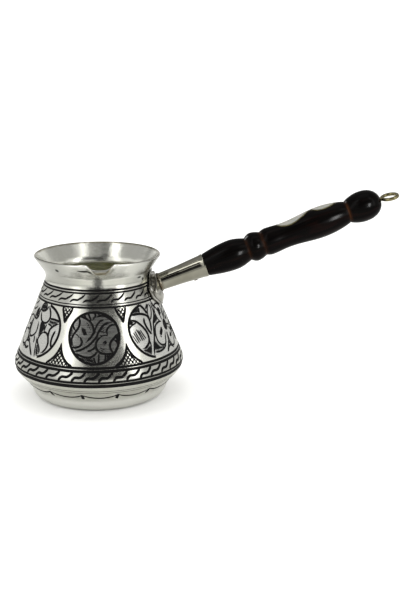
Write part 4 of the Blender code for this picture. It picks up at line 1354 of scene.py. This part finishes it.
def bracket_mesh():
    """The casting: a thin plate on the wall with a crowned boss, drawn up to the ferrule's seat."""
    rows, columns = 74, 69
    low, high = PLATE_OUTLINE[0][1], PLATE_OUTLINE[-1][1]

    def surface(row, column, side):
        height = low + (high - low) * (1 - math.cos(math.pi * row / (rows - 1))) / 2
        width = max(half_width(PLATE_CURVE, height), 2.0)
        share = -math.cos(math.pi * column / (columns - 1))
        across = width * share
        wall = wall_radius(height)
        lean = wall_lean(height)
        boss = half_width(BOSS_CURVE, height)
        edge = min(width - abs(across), height - low, high - height)
        round_off = math.sqrt(max(0.0, 1 - (1 - min(edge / 0.5, 1)) ** 2))
        thickness = PLATE_THICKNESS * (0.45 + 0.55 * round_off)
        if abs(across) < boss:
            rise = min((height - BOSS_OUTLINE[0][1]) / (BOSS_THICKEST - BOSS_OUTLINE[0][1]), 1)
            if rise > 0:
                crown = math.sin(math.pi / 2 * rise) * math.sqrt(1 - (across / boss) ** 2)
                step = min((boss - abs(across)) / 0.6, 1)
                thickness += BOSS_EDGE * min(3 * rise, 1) * step + BOSS_CROWN * crown
        lumps = noise.noise(Vector((across, height, 0)) * 0.25) * 0.035 * round_off
        out = GAP * 0.3 + (thickness + lumps) * side
        radius = wall + out * math.cos(lean)
        azimuth = across / wall
        drop = out * math.sin(lean)
        point = Vector((radius * math.cos(azimuth), radius * math.sin(azimuth), height - drop))
        if not side:
            return point
        offset = point - handle_start
        distance = offset.dot(axis_along)
        aside = (offset - axis_along * distance).length
        over = distance + 0.1
        if aside < COLLAR_RADIUS or (aside < SEAT_RADIUS and over > 0):
            return point - axis_along * over
        return point

    bm = slab(surface, rows, columns)
    brazed = bm.verts.layers.float.new("brazed")
    # Painted shade: the attribute edge is 1 along the boss's edge and the plate's rim, where the casting
    # is painted near-black.
    edge = bm.verts.layers.float.new("edge")
    for vertex in bm.verts:
        across = abs(math.atan2(vertex.co.y, vertex.co.x)) * wall_radius(vertex.co.z / MM)
        to_boss = half_width(BOSS_CURVE, vertex.co.z / MM) + 0.25 - across
        to_rim = half_width(PLATE_CURVE, vertex.co.z / MM) - across
        nearest = min(abs(to_boss), abs(to_rim) * 1.4)
        vertex[edge] = math.exp(-((nearest / 0.4) ** 2))
        offset = vertex.co / MM - handle_start
        distance = offset.dot(axis_along)
        aside = (offset - axis_along * distance).length
        vertex[brazed] = math.exp(-((max(aside - 4.4, 0) / 3.4) ** 2)) if distance > -6 else 0.0
    return finished(bm, "bracket", 60)


def rivet_mesh():
    """A rivet along Z, from its inner head to its domed outer head."""
    inside_face = -WALL - 0.05
    outside_face = PLATE_THICKNESS + 0.15
    head, shank = 1.5, 0.9
    outline = [(0.0, inside_face - 0.55)]
    for turn in np.linspace(0.2, math.pi / 2, 6):
        outline.append((head * math.sin(turn), inside_face - 0.15 - 0.4 * math.cos(turn)))
    outline += [(head, inside_face), (shank, inside_face + 0.01), (shank, outside_face)]
    for turn in np.linspace(0, 1.45, 9):
        outline.append((head * math.cos(turn), outside_face + 0.05 + 0.8 * math.sin(turn)))
    outline.append((0.0, outside_face + 0.85))
    return finished(lathe(outline, 36), "rivet")


RIVET_AZIMUTH = math.radians(25.2)
RIVET_HEIGHT = 57.4


def rivet_place(side):
    """On the outer wall, its Z straight out of the wall."""
    azimuth, height = RIVET_AZIMUTH * side, RIVET_HEIGHT
    wall, lean = wall_radius(height), wall_lean(height)
    out = Vector((math.cos(azimuth) * math.cos(lean), math.sin(azimuth) * math.cos(lean), -math.sin(lean)))
    place = Matrix.Translation((wall * math.cos(azimuth), wall * math.sin(azimuth), height))
    return place @ out.to_track_quat("Z", "Y").to_matrix().to_4x4()


def ferrule_radius(distance):
    """The ferrule's outer radius at a distance along the handle."""
    distances, radii = zip(*FERRULE_OUTLINE)
    return float(np.interp(distance, distances, radii))


def ferrule_mesh():
    """A tapered tube with a flared lip, and a bead of solder where it is brazed to the bracket."""
    outside = [(4.75, 0.0), (5.0, 0.15), (5.1, 0.5), (4.95, 0.95), (4.72, 1.3)]
    outside += [(ferrule_radius(d), d) for d in np.linspace(1.7, 24.6, 40)]
    outside += [(6.14, 25.0), (6.22, 25.3), (6.25, 25.6), (6.22, 25.9), (6.1, 26.0)]
    over_bore = ((6.25, 26.0), (6.1, 25.0), (5.05, 12.0), (4.55, 0.0))
    inside_wall = [(radius - FERRULE_WALL, distance) for radius, distance in over_bore]
    bm = tube(outside + inside_wall, 96)
    for vertex in bm.verts:
        distance = vertex.co.z / MM
        radius = math.hypot(vertex.co.x, vertex.co.y) / MM
        if distance < 1.6 and radius > 4.3:
            lump = 1 + 0.035 * noise.noise(vertex.co / MM * 0.8)
            vertex.co.x *= lump
            vertex.co.y *= lump
    return finished(bm, "ferrule_tube")


def eased(share, before, after, fullness):
    """How far a turned curve has gone at a share of the way from one crest or groove to the next."""
    if before == after == "crest":
        return (1 - math.cos(math.pi * share)) / 2
    if before == "groove":
        return math.sin(math.pi / 2 * share) ** fullness
    return 1 - math.sin(math.pi / 2 * (1 - share)) ** fullness


def grip_outline(steps=18):
    """Points (distance, radius) of the turning, from the ferrule to the end of the knob."""
    points = [TURNING[0][:2]]
    for before, after in zip(TURNING, TURNING[1:]):
        for step in range(1, steps + 1):
            share = step / steps
            done = eased(share, before[2], after[2], after[3])
            distance = before[0] + (after[0] - before[0]) * share
            points.append((distance, before[1] + (after[1] - before[1]) * done))
    start, radius = TURNING[-1][:2]
    for step in range(1, steps):
        turn = math.pi / 2 * step / steps
        reach = math.sin(turn) ** (2 / KNOB_FULLNESS)
        points.append((start + (KNOB_END - start) * reach, radius * math.cos(turn) ** (2 / KNOB_FULLNESS)))
    return points


GRIP_OUTLINE = grip_outline()


def grip_radius(distance):
    """The grip's radius at a distance along the handle."""
    distances, radii = zip(*GRIP_OUTLINE)
    return float(np.interp(distance, distances, radii))


def on_grip(across, distance, height):
    """A point over the top of the grip, at a height above its surface."""
    surface = grip_radius(distance)
    turn = across / surface
    radius = surface + height
    return Vector((-radius * math.cos(turn), radius * math.sin(turn), distance))


def leaf_point(leaf, grow, share, side):
    """A point (across, distance) of a pointed leaf's edge, at a share from its start to its end."""
    start, end, full_width = leaf
    half_length = (end - start) / 2
    arc_radius = (half_length**2 + full_width**2) / (2 * full_width)
    depth = arc_radius - full_width
    reach = math.acos(depth / (arc_radius + grow))
    turn = reach * (2 * share - 1)
    width = (arc_radius + grow) * math.cos(turn) - depth
    along = (arc_radius + grow) * math.sin(turn) / half_length
    return side * width, (start + end) / 2 + half_length * (along - LEAF_LEAN * (1 - along**2))


def leaf_mesh(leaf, grow, low, high, dome=0.0, rows=41, columns=15):
    """A leaf-shaped plate bent over the grip, between two heights, with a low dome."""

    def surface(row, column, side):
        width, distance = leaf_point(leaf, grow, row / (rows - 1), 1)
        share = 2 * column / (columns - 1) - 1
        lift = dome * (1 - share**2) * min(width / leaf[2], 1)
        return on_grip(max(width, 0.08) * share, distance, high + lift if side else low)

    return slab(surface, rows, columns)


def wire_mesh(leaf, inner, outer, low, high, steps=44, tail=0.0):
    """A flat wire round a leaf, with rounded top edges; its tip may run on as a short tail."""
    loop = [(k / steps, 1) for k in range(steps)] + [(k / steps, -1) for k in range(steps, 0, -1)]
    section = ((inner, low), (inner, high - 0.05), (inner + 0.06, high))
    section += ((outer - 0.06, high), (outer, high - 0.05), (outer, low))
    bm = bmesh.new()
    rings = []
    for share, side in loop:
        ring = []
        for grow, height in section:
            across, distance = leaf_point(leaf, grow, share, side)
            if share == 0:
                distance -= tail * (grow - inner) / (outer - inner)
            ring.append(bm.verts.new(on_grip(across, distance, height) * MM))
        rings.append(ring)
    join_rings(bm, rings + rings[:1])
    return finished(bm, "wire", 30)


def grip_mesh():
    """The turned grip with its tenon, and the hole for the screw eye."""
    mouth = FERRULE_OUTLINE[-1][0]
    clearance = FERRULE_WALL + 0.1
    outline = [(0.0, TENON_START), (ferrule_radius(TENON_START) - clearance, TENON_START)]
    outline += [(ferrule_radius(24.0) - clearance, 24.0), (ferrule_radius(mouth) - clearance, mouth + 0.1)]
    outline += [(r, d) for d, r in GRIP_OUTLINE]
    hole = EYE_WIRE_RADIUS + 0.12
    outline = [(r, d) for r, d in outline if not (d > KNOB_END - 2 and r < hole + 0.3)]
    outline += [(hole + 0.25, KNOB_END - 0.02), (hole, KNOB_END - 0.25), (hole, BORE_END)]
    outline.append((0.0, BORE_END - 0.1))
    bm = lathe(outline, 112)
    worn = bm.verts.layers.float.new("worn")
    grooves = [d for d, _, kind, _ in TURNING[1:] if kind == "groove"]
    for vertex in bm.verts:
        distance = vertex.co.z / MM
        vertex[worn] = max(
            wear * math.exp(-(((distance - groove) / reach) ** 2))
            for groove, (wear, reach) in zip(grooves, GROOVE_WEAR)
        )
    return finished(bm, "grip", 34)


GROOVE_WEAR = ((0.45, 0.75), (0.5, 0.9), (1.0, 0.6))  # how worn each groove is, and half how wide (mm)


def carved_grip():
    """The grip with the two pockets for its inlay cut into it."""
    blank = bpy.data.objects.new("grip_blank", grip_mesh())
    cutters = []
    for leaf in (FRONT_LEAF, REAR_LEAF):
        pocket = finished(leaf_mesh(leaf, GAP + WIRE_WIDTH + 0.04, -INLAY_DEPTH - 0.1, 0.8), "pocket", 30)
        cutter = bpy.data.objects.new("pocket_cutter", pocket)
        cut = blank.modifiers.new("pocket", "BOOLEAN")
        cut.operation = "DIFFERENCE"
        cut.object = cutter
        cutters.append(cutter)
    for made in (blank, *cutters):
        bpy.context.scene.collection.objects.link(made)
    bpy.context.view_layer.update()
    carved = bpy.data.meshes.new_from_object(blank.evaluated_get(bpy.context.evaluated_depsgraph_get()))
    for made in (blank, *cutters):
        bpy.data.objects.remove(made)
    return carved


def nail_mesh():
    """A small round-headed nail along Z."""
    outline = [(0.0, -4.4), (0.3, -3.6), (0.6, -2.8), (0.6, 0.05), (1.2, 0.1)]
    outline += [(1.2 * math.cos(t), 0.12 + 0.4 * math.sin(t)) for t in np.linspace(0.1, 1.4, 7)]
    outline += [(0.0, 0.53)]
    return finished(lathe(outline, 28), "nail")


def sweep(path, radii, sides, name):
    """A round wire along a path of mm points, with closed ends."""
    bm = bmesh.new()
    rings = []
    side = Vector((1, 0, 0))
    for index, point in enumerate(path):
        ahead = path[min(index + 1, len(path) - 1)] - path[max(index - 1, 0)]
        along = ahead.normalized()
        up = along.cross(side).normalized()
        across = up.cross(along).normalized()
        ring = []
        for k in range(sides):
            turn = 2 * math.pi * k / sides
            radius = radii[index]
            if callable(radius):
                radius = radius(turn)
            spoke = across * math.cos(turn) * radius + up * math.sin(turn) * radius
            ring.append(bm.verts.new((point + spoke) * MM))
        rings.append(ring)
    join_rings(bm, rings)
    bm.faces.new(rings[0][::-1])
    bm.faces.new(rings[-1])
    return finished(bm, name, 35)


def eye_mesh():
    """A screw eye of one bent wire: a threaded shank, a neck, and a ring that almost closes."""
    shank_end = EYE_CENTRE - EYE_RADIUS
    ring_start, ring_end = EYE_RING_ENDS
    droop = Matrix.Rotation(EYE_BEND, 4, "Y")
    centre = Vector((0, 0, EYE_RADIUS))
    path, radii = [], []
    thread_end = KNOB_END - 1.5
    for k in range(60):
        distance = EYE_SHANK_START + (thread_end - EYE_SHANK_START) * k / 59
        path.append(Vector((0, 0, distance)))
        taper = min(1.0, 0.25 + k / 14)
        phase = 2 * math.pi * (distance - EYE_SHANK_START) / EYE_THREAD_PITCH
        radii.append(lambda turn, t=taper, p=phase: EYE_WIRE_RADIUS * t * (0.9 + 0.1 * math.cos(turn - p)))
    for k in range(1, 7):
        path.append(Vector((0, 0, thread_end + (shank_end - 0.9 - thread_end) * k / 6)))
        radii.append(EYE_WIRE_RADIUS)
    for k in range(72):
        turn = math.radians(ring_start + (ring_end - ring_start) * k / 71)
        spoke = Vector((0, -math.sin(turn), -math.cos(turn))) * EYE_RADIUS
        path.append(Vector((0, 0, shank_end)) + droop @ (centre + spoke))
        end = min(1.0, 0.55 + (71 - k) / 4)
        radii.append(EYE_WIRE_RADIUS * end)
    return sweep(path, radii, 20, "eye")


silver, niello = silver_look(), niello_look()
cast, nickel, wood, pearl = cast_silver_look(), nickel_look(), wood_look(), pearl_look()
wire, eye_brass = brass_look("brass_wire"), brass_look("eye_brass", dull=0.1)
ON_HANDLE = metres(HANDLE)
NAIL_AT = 19.0  # the nail's distance along the handle

piece("engraved_pot", build_pot(), (silver, niello), ["pot_body"])
piece("cast_bracket", bracket_mesh(), (cast,), ["handle_bracket"])
for name, side in (("left", -1), ("right", 1)):
    place = metres(rivet_place(side))
    piece("domed_rivet_" + name, rivet_mesh(), (cast,), ["rivet_" + name], matrix=place)
piece("flared_ferrule", ferrule_mesh(), (nickel,), ["ferrule"], matrix=ON_HANDLE)
grip = piece("turned_grip", carved_grip(), (wood,), ["handle_grip"], matrix=ON_HANDLE)
under_ferrule = Matrix.Translation((ferrule_radius(NAIL_AT), 0, NAIL_AT))
nail_place = HANDLE @ under_ferrule @ Matrix.Rotation(math.pi / 2, 4, "Y")
piece("round_nail", nail_mesh(), (nickel,), ["ferrule_nail"], matrix=metres(nail_place))
for name, leaf, tail in (("front", FRONT_LEAF, 2.2), ("rear", REAR_LEAF, 0.0)):
    plate = finished(leaf_mesh(leaf, 0.13, -INLAY_DEPTH, INLAY_PROUD - 0.03, dome=0.06), "leaf", 30)
    nodes = ["pearl_inlay_" + name]
    piece("pearl_leaf_" + name, plate, (pearl,), nodes, matrix=ON_HANDLE)
    strip = wire_mesh(leaf, GAP - 0.04, GAP + WIRE_WIDTH, -INLAY_DEPTH, INLAY_PROUD, tail=tail)
    piece("brass_line_" + name, strip, (wire,), ["inlay_wire_" + name], matrix=ON_HANDLE)
piece(
    "bent_screw_eye",
    eye_mesh(),
    (eye_brass,),
    ["hanging_eye"],
    body="eye",
    matrix=metres(HANDLE @ Matrix.Rotation(EYE_TWIST, 4, "Z")),
)

# ---- floor, light and camera ---------------------------------------------------------------------


def build_floor():
    """A wide pale floor. Metal sees it darken away from the pot."""
    bm = bmesh.new()
    bmesh.ops.create_circle(bm, cap_ends=True, radius=4.0, segments=96)
    mesh = bpy.data.meshes.new("studio_floor")
    bm.to_mesh(mesh)
    bm.free()
    floor = bpy.data.objects.new("studio_floor", mesh)
    bpy.context.scene.collection.objects.link(floor)
    floor.location.z = -0.0002
    look = Look("pale_floor", Roughness=0.9, Specular_IOR_Level=0.1)
    away = look.add("VectorMath", operation="LENGTH")
    look.feed(away.inputs[0], look.add("NewGeometry").outputs["Position"])
    fading = look.range(away.outputs["Value"], 0.2, 0.8)
    reflected = look.mix(fading, (0.70, 0.70, 0.68), (0.31, 0.31, 0.30))
    glossy = look.add("LightPath").outputs["Is Glossy Ray"]
    look.set("Base Color", look.mix(glossy, (0.93, 0.93, 0.925), reflected))
    mesh.materials.append(look.material)


class Sky(Nodes):
    """The studio as the metal reflects it: a white room with soft boxes, dark behind the camera."""

    def __init__(self):
        world = bpy.data.worlds.new("studio")
        world.use_nodes = True
        world.cycles.sampling_method = "NONE"
        bpy.context.scene.world = world
        super().__init__(world.node_tree)
        split = self.add("SeparateXYZ")
        self.feed(split.inputs[0], self.add("TexCoord").outputs["Generated"])
        self.azimuth = self.math("ARCTAN2", split.outputs["Y"], split.outputs["X"])
        self.elevation = self.math("ARCSINE", split.outputs["Z"])
        self.level = 1.0

    def window(self, angle, middle, half, soft):
        """1 within half of the middle (degrees), falling to 0 over a soft edge."""
        away = self.math("ABSOLUTE", self.math("SUBTRACT", angle, math.radians(middle)))
        outer, inner = math.radians(half + soft / 2), math.radians(half - soft / 2)
        return self.range(away, outer, inner, kind="SMOOTHSTEP")

    def patch(self, level, azimuth, elevation):
        """Sets the brightness in a patch of (middle, half, soft) degrees each way."""
        share = self.times(self.window(self.azimuth, *azimuth), self.window(self.elevation, *elevation))
        change = self.times(self.math("SUBTRACT", level, self.level), share)
        self.level = self.math("ADD", self.level, change)

    def finish(self, plain):
        """Metal and lacquer see the pattern; everything else gets an even white."""
        seen = self.add("Mix")
        self.feed(seen.inputs["Factor"], self.add("LightPath").outputs["Is Glossy Ray"])
        self.feed(seen.inputs["A"], plain)
        self.feed(seen.inputs["B"], self.level)
        background = self.tree.nodes["Background"]
        self.feed(background.inputs["Color"], (1.0, 0.998, 0.985))
        self.feed(background.inputs["Strength"], seen.outputs["Result"])


SKY_PATCHES = (  # brightness, azimuth and elevation as (middle, half, soft edge) in degrees
    (0.45, (0, 181, 1), (56, 18, 12)),
    (0.50, (16, 28, 12), (32, 12, 8)),
    (0.50, (-172, 14, 8), (42, 8, 8)),
    (0.50, (162, 22, 8), (36, 12, 8)),
    (2.0, (-170, 8, 6), (67, 2, 3)),
    (1.0, (0, 181, 1), (90, 14, 12)),
    (0.3, (100, 42, 20), (30, 16, 14)),
    (2.4, (-139, 9, 10), (26, 20, 14)),
    (4.0, (-41, 7, 8), (22, 20, 14)),
    (2.4, (-49, 9, 10), (56, 10, 10)),
    (3.3, (-141, 9, 8), (53, 9, 8)),
    (0.40, (-98, 25, 10), (62, 13, 12)),
    (0.09, (-78, 30, 12), (30, 14, 10)),
    (0.07, (-98, 15, 10), (25, 20, 12)),
    (0.0, (-118, 13, 8), (50, 8, 6)),
    (0.0, (-108, 6, 5), (30, 8, 5)),
)
PLAIN_LEVEL = 1.5  # of the sky, for everything but reflections
GLEAMS = (("front", -60, 15, 16.0), ("back", 124, 25, 4.0))  # name, azimuth, elevation, watts
GLEAM_SIZE = (0.18, 0.44)
GLEAM_DISTANCE = 1.2
CAMERA_PLACE = Vector((0.0, -0.4774, 0.170))
CAMERA_TURN = (6.41, 14.23, 0.35)  # to the right, down, and rolled (degrees)
CAMERA_LENS = 55.97


def placed(name, data, matrix):
    """A light or a camera in the scene."""
    made = bpy.data.objects.new(name, data)
    bpy.context.scene.collection.objects.link(made)
    made.matrix_world = matrix
    return made


def build_gleams():
    """Two narrow soft boxes that only the dark lacquer picks up."""
    lacquered = bpy.data.collections.new("lacquered")
    lacquered.objects.link(grip)
    for name, azimuth, elevation, power in GLEAMS:
        turn, rise = math.radians(azimuth), math.radians(elevation)
        flat = math.cos(rise)
        toward = Vector((math.cos(turn) * flat, math.sin(turn) * flat, math.sin(rise)))
        data = bpy.data.lights.new("gleam_" + name, "AREA")
        data.shape = "RECTANGLE"
        data.size, data.size_y = GLEAM_SIZE
        data.energy = power
        facing_in = toward.to_track_quat("Z", "Y").to_matrix().to_4x4()
        place = Matrix.Translation(toward * GLEAM_DISTANCE) @ facing_in
        light = placed("gleam_" + name, data, place)
        light.light_linking.receiver_collection = lacquered


def build_camera():
    """A camera at the height and angle from which such a pot is usually shown."""
    yaw, pitch, roll = (math.radians(angle) for angle in CAMERA_TURN)
    level = math.cos(pitch)
    forward = Vector((math.sin(yaw) * level, math.cos(yaw) * level, -math.sin(pitch)))
    right = Vector((math.cos(yaw), -math.sin(yaw), 0))
    up = right.cross(forward)
    rolled_right = right * math.cos(roll) + up * math.sin(roll)
    rolled_up = up * math.cos(roll) - right * math.sin(roll)
    axes = Matrix((rolled_right, rolled_up, -forward)).transposed().to_4x4()
    data = bpy.data.cameras.new("camera")
    data.lens = CAMERA_LENS
    data.sensor_width = 36
    bpy.context.scene.camera = placed("camera", data, Matrix.Translation(CAMERA_PLACE) @ axes)


build_floor()
sky = Sky()
for patch in SKY_PATCHES:
    sky.patch(*patch)
sky.finish(PLAIN_LEVEL)
build_gleams()
build_camera()
bpy.context.scene.view_settings.view_transform = "Standard"
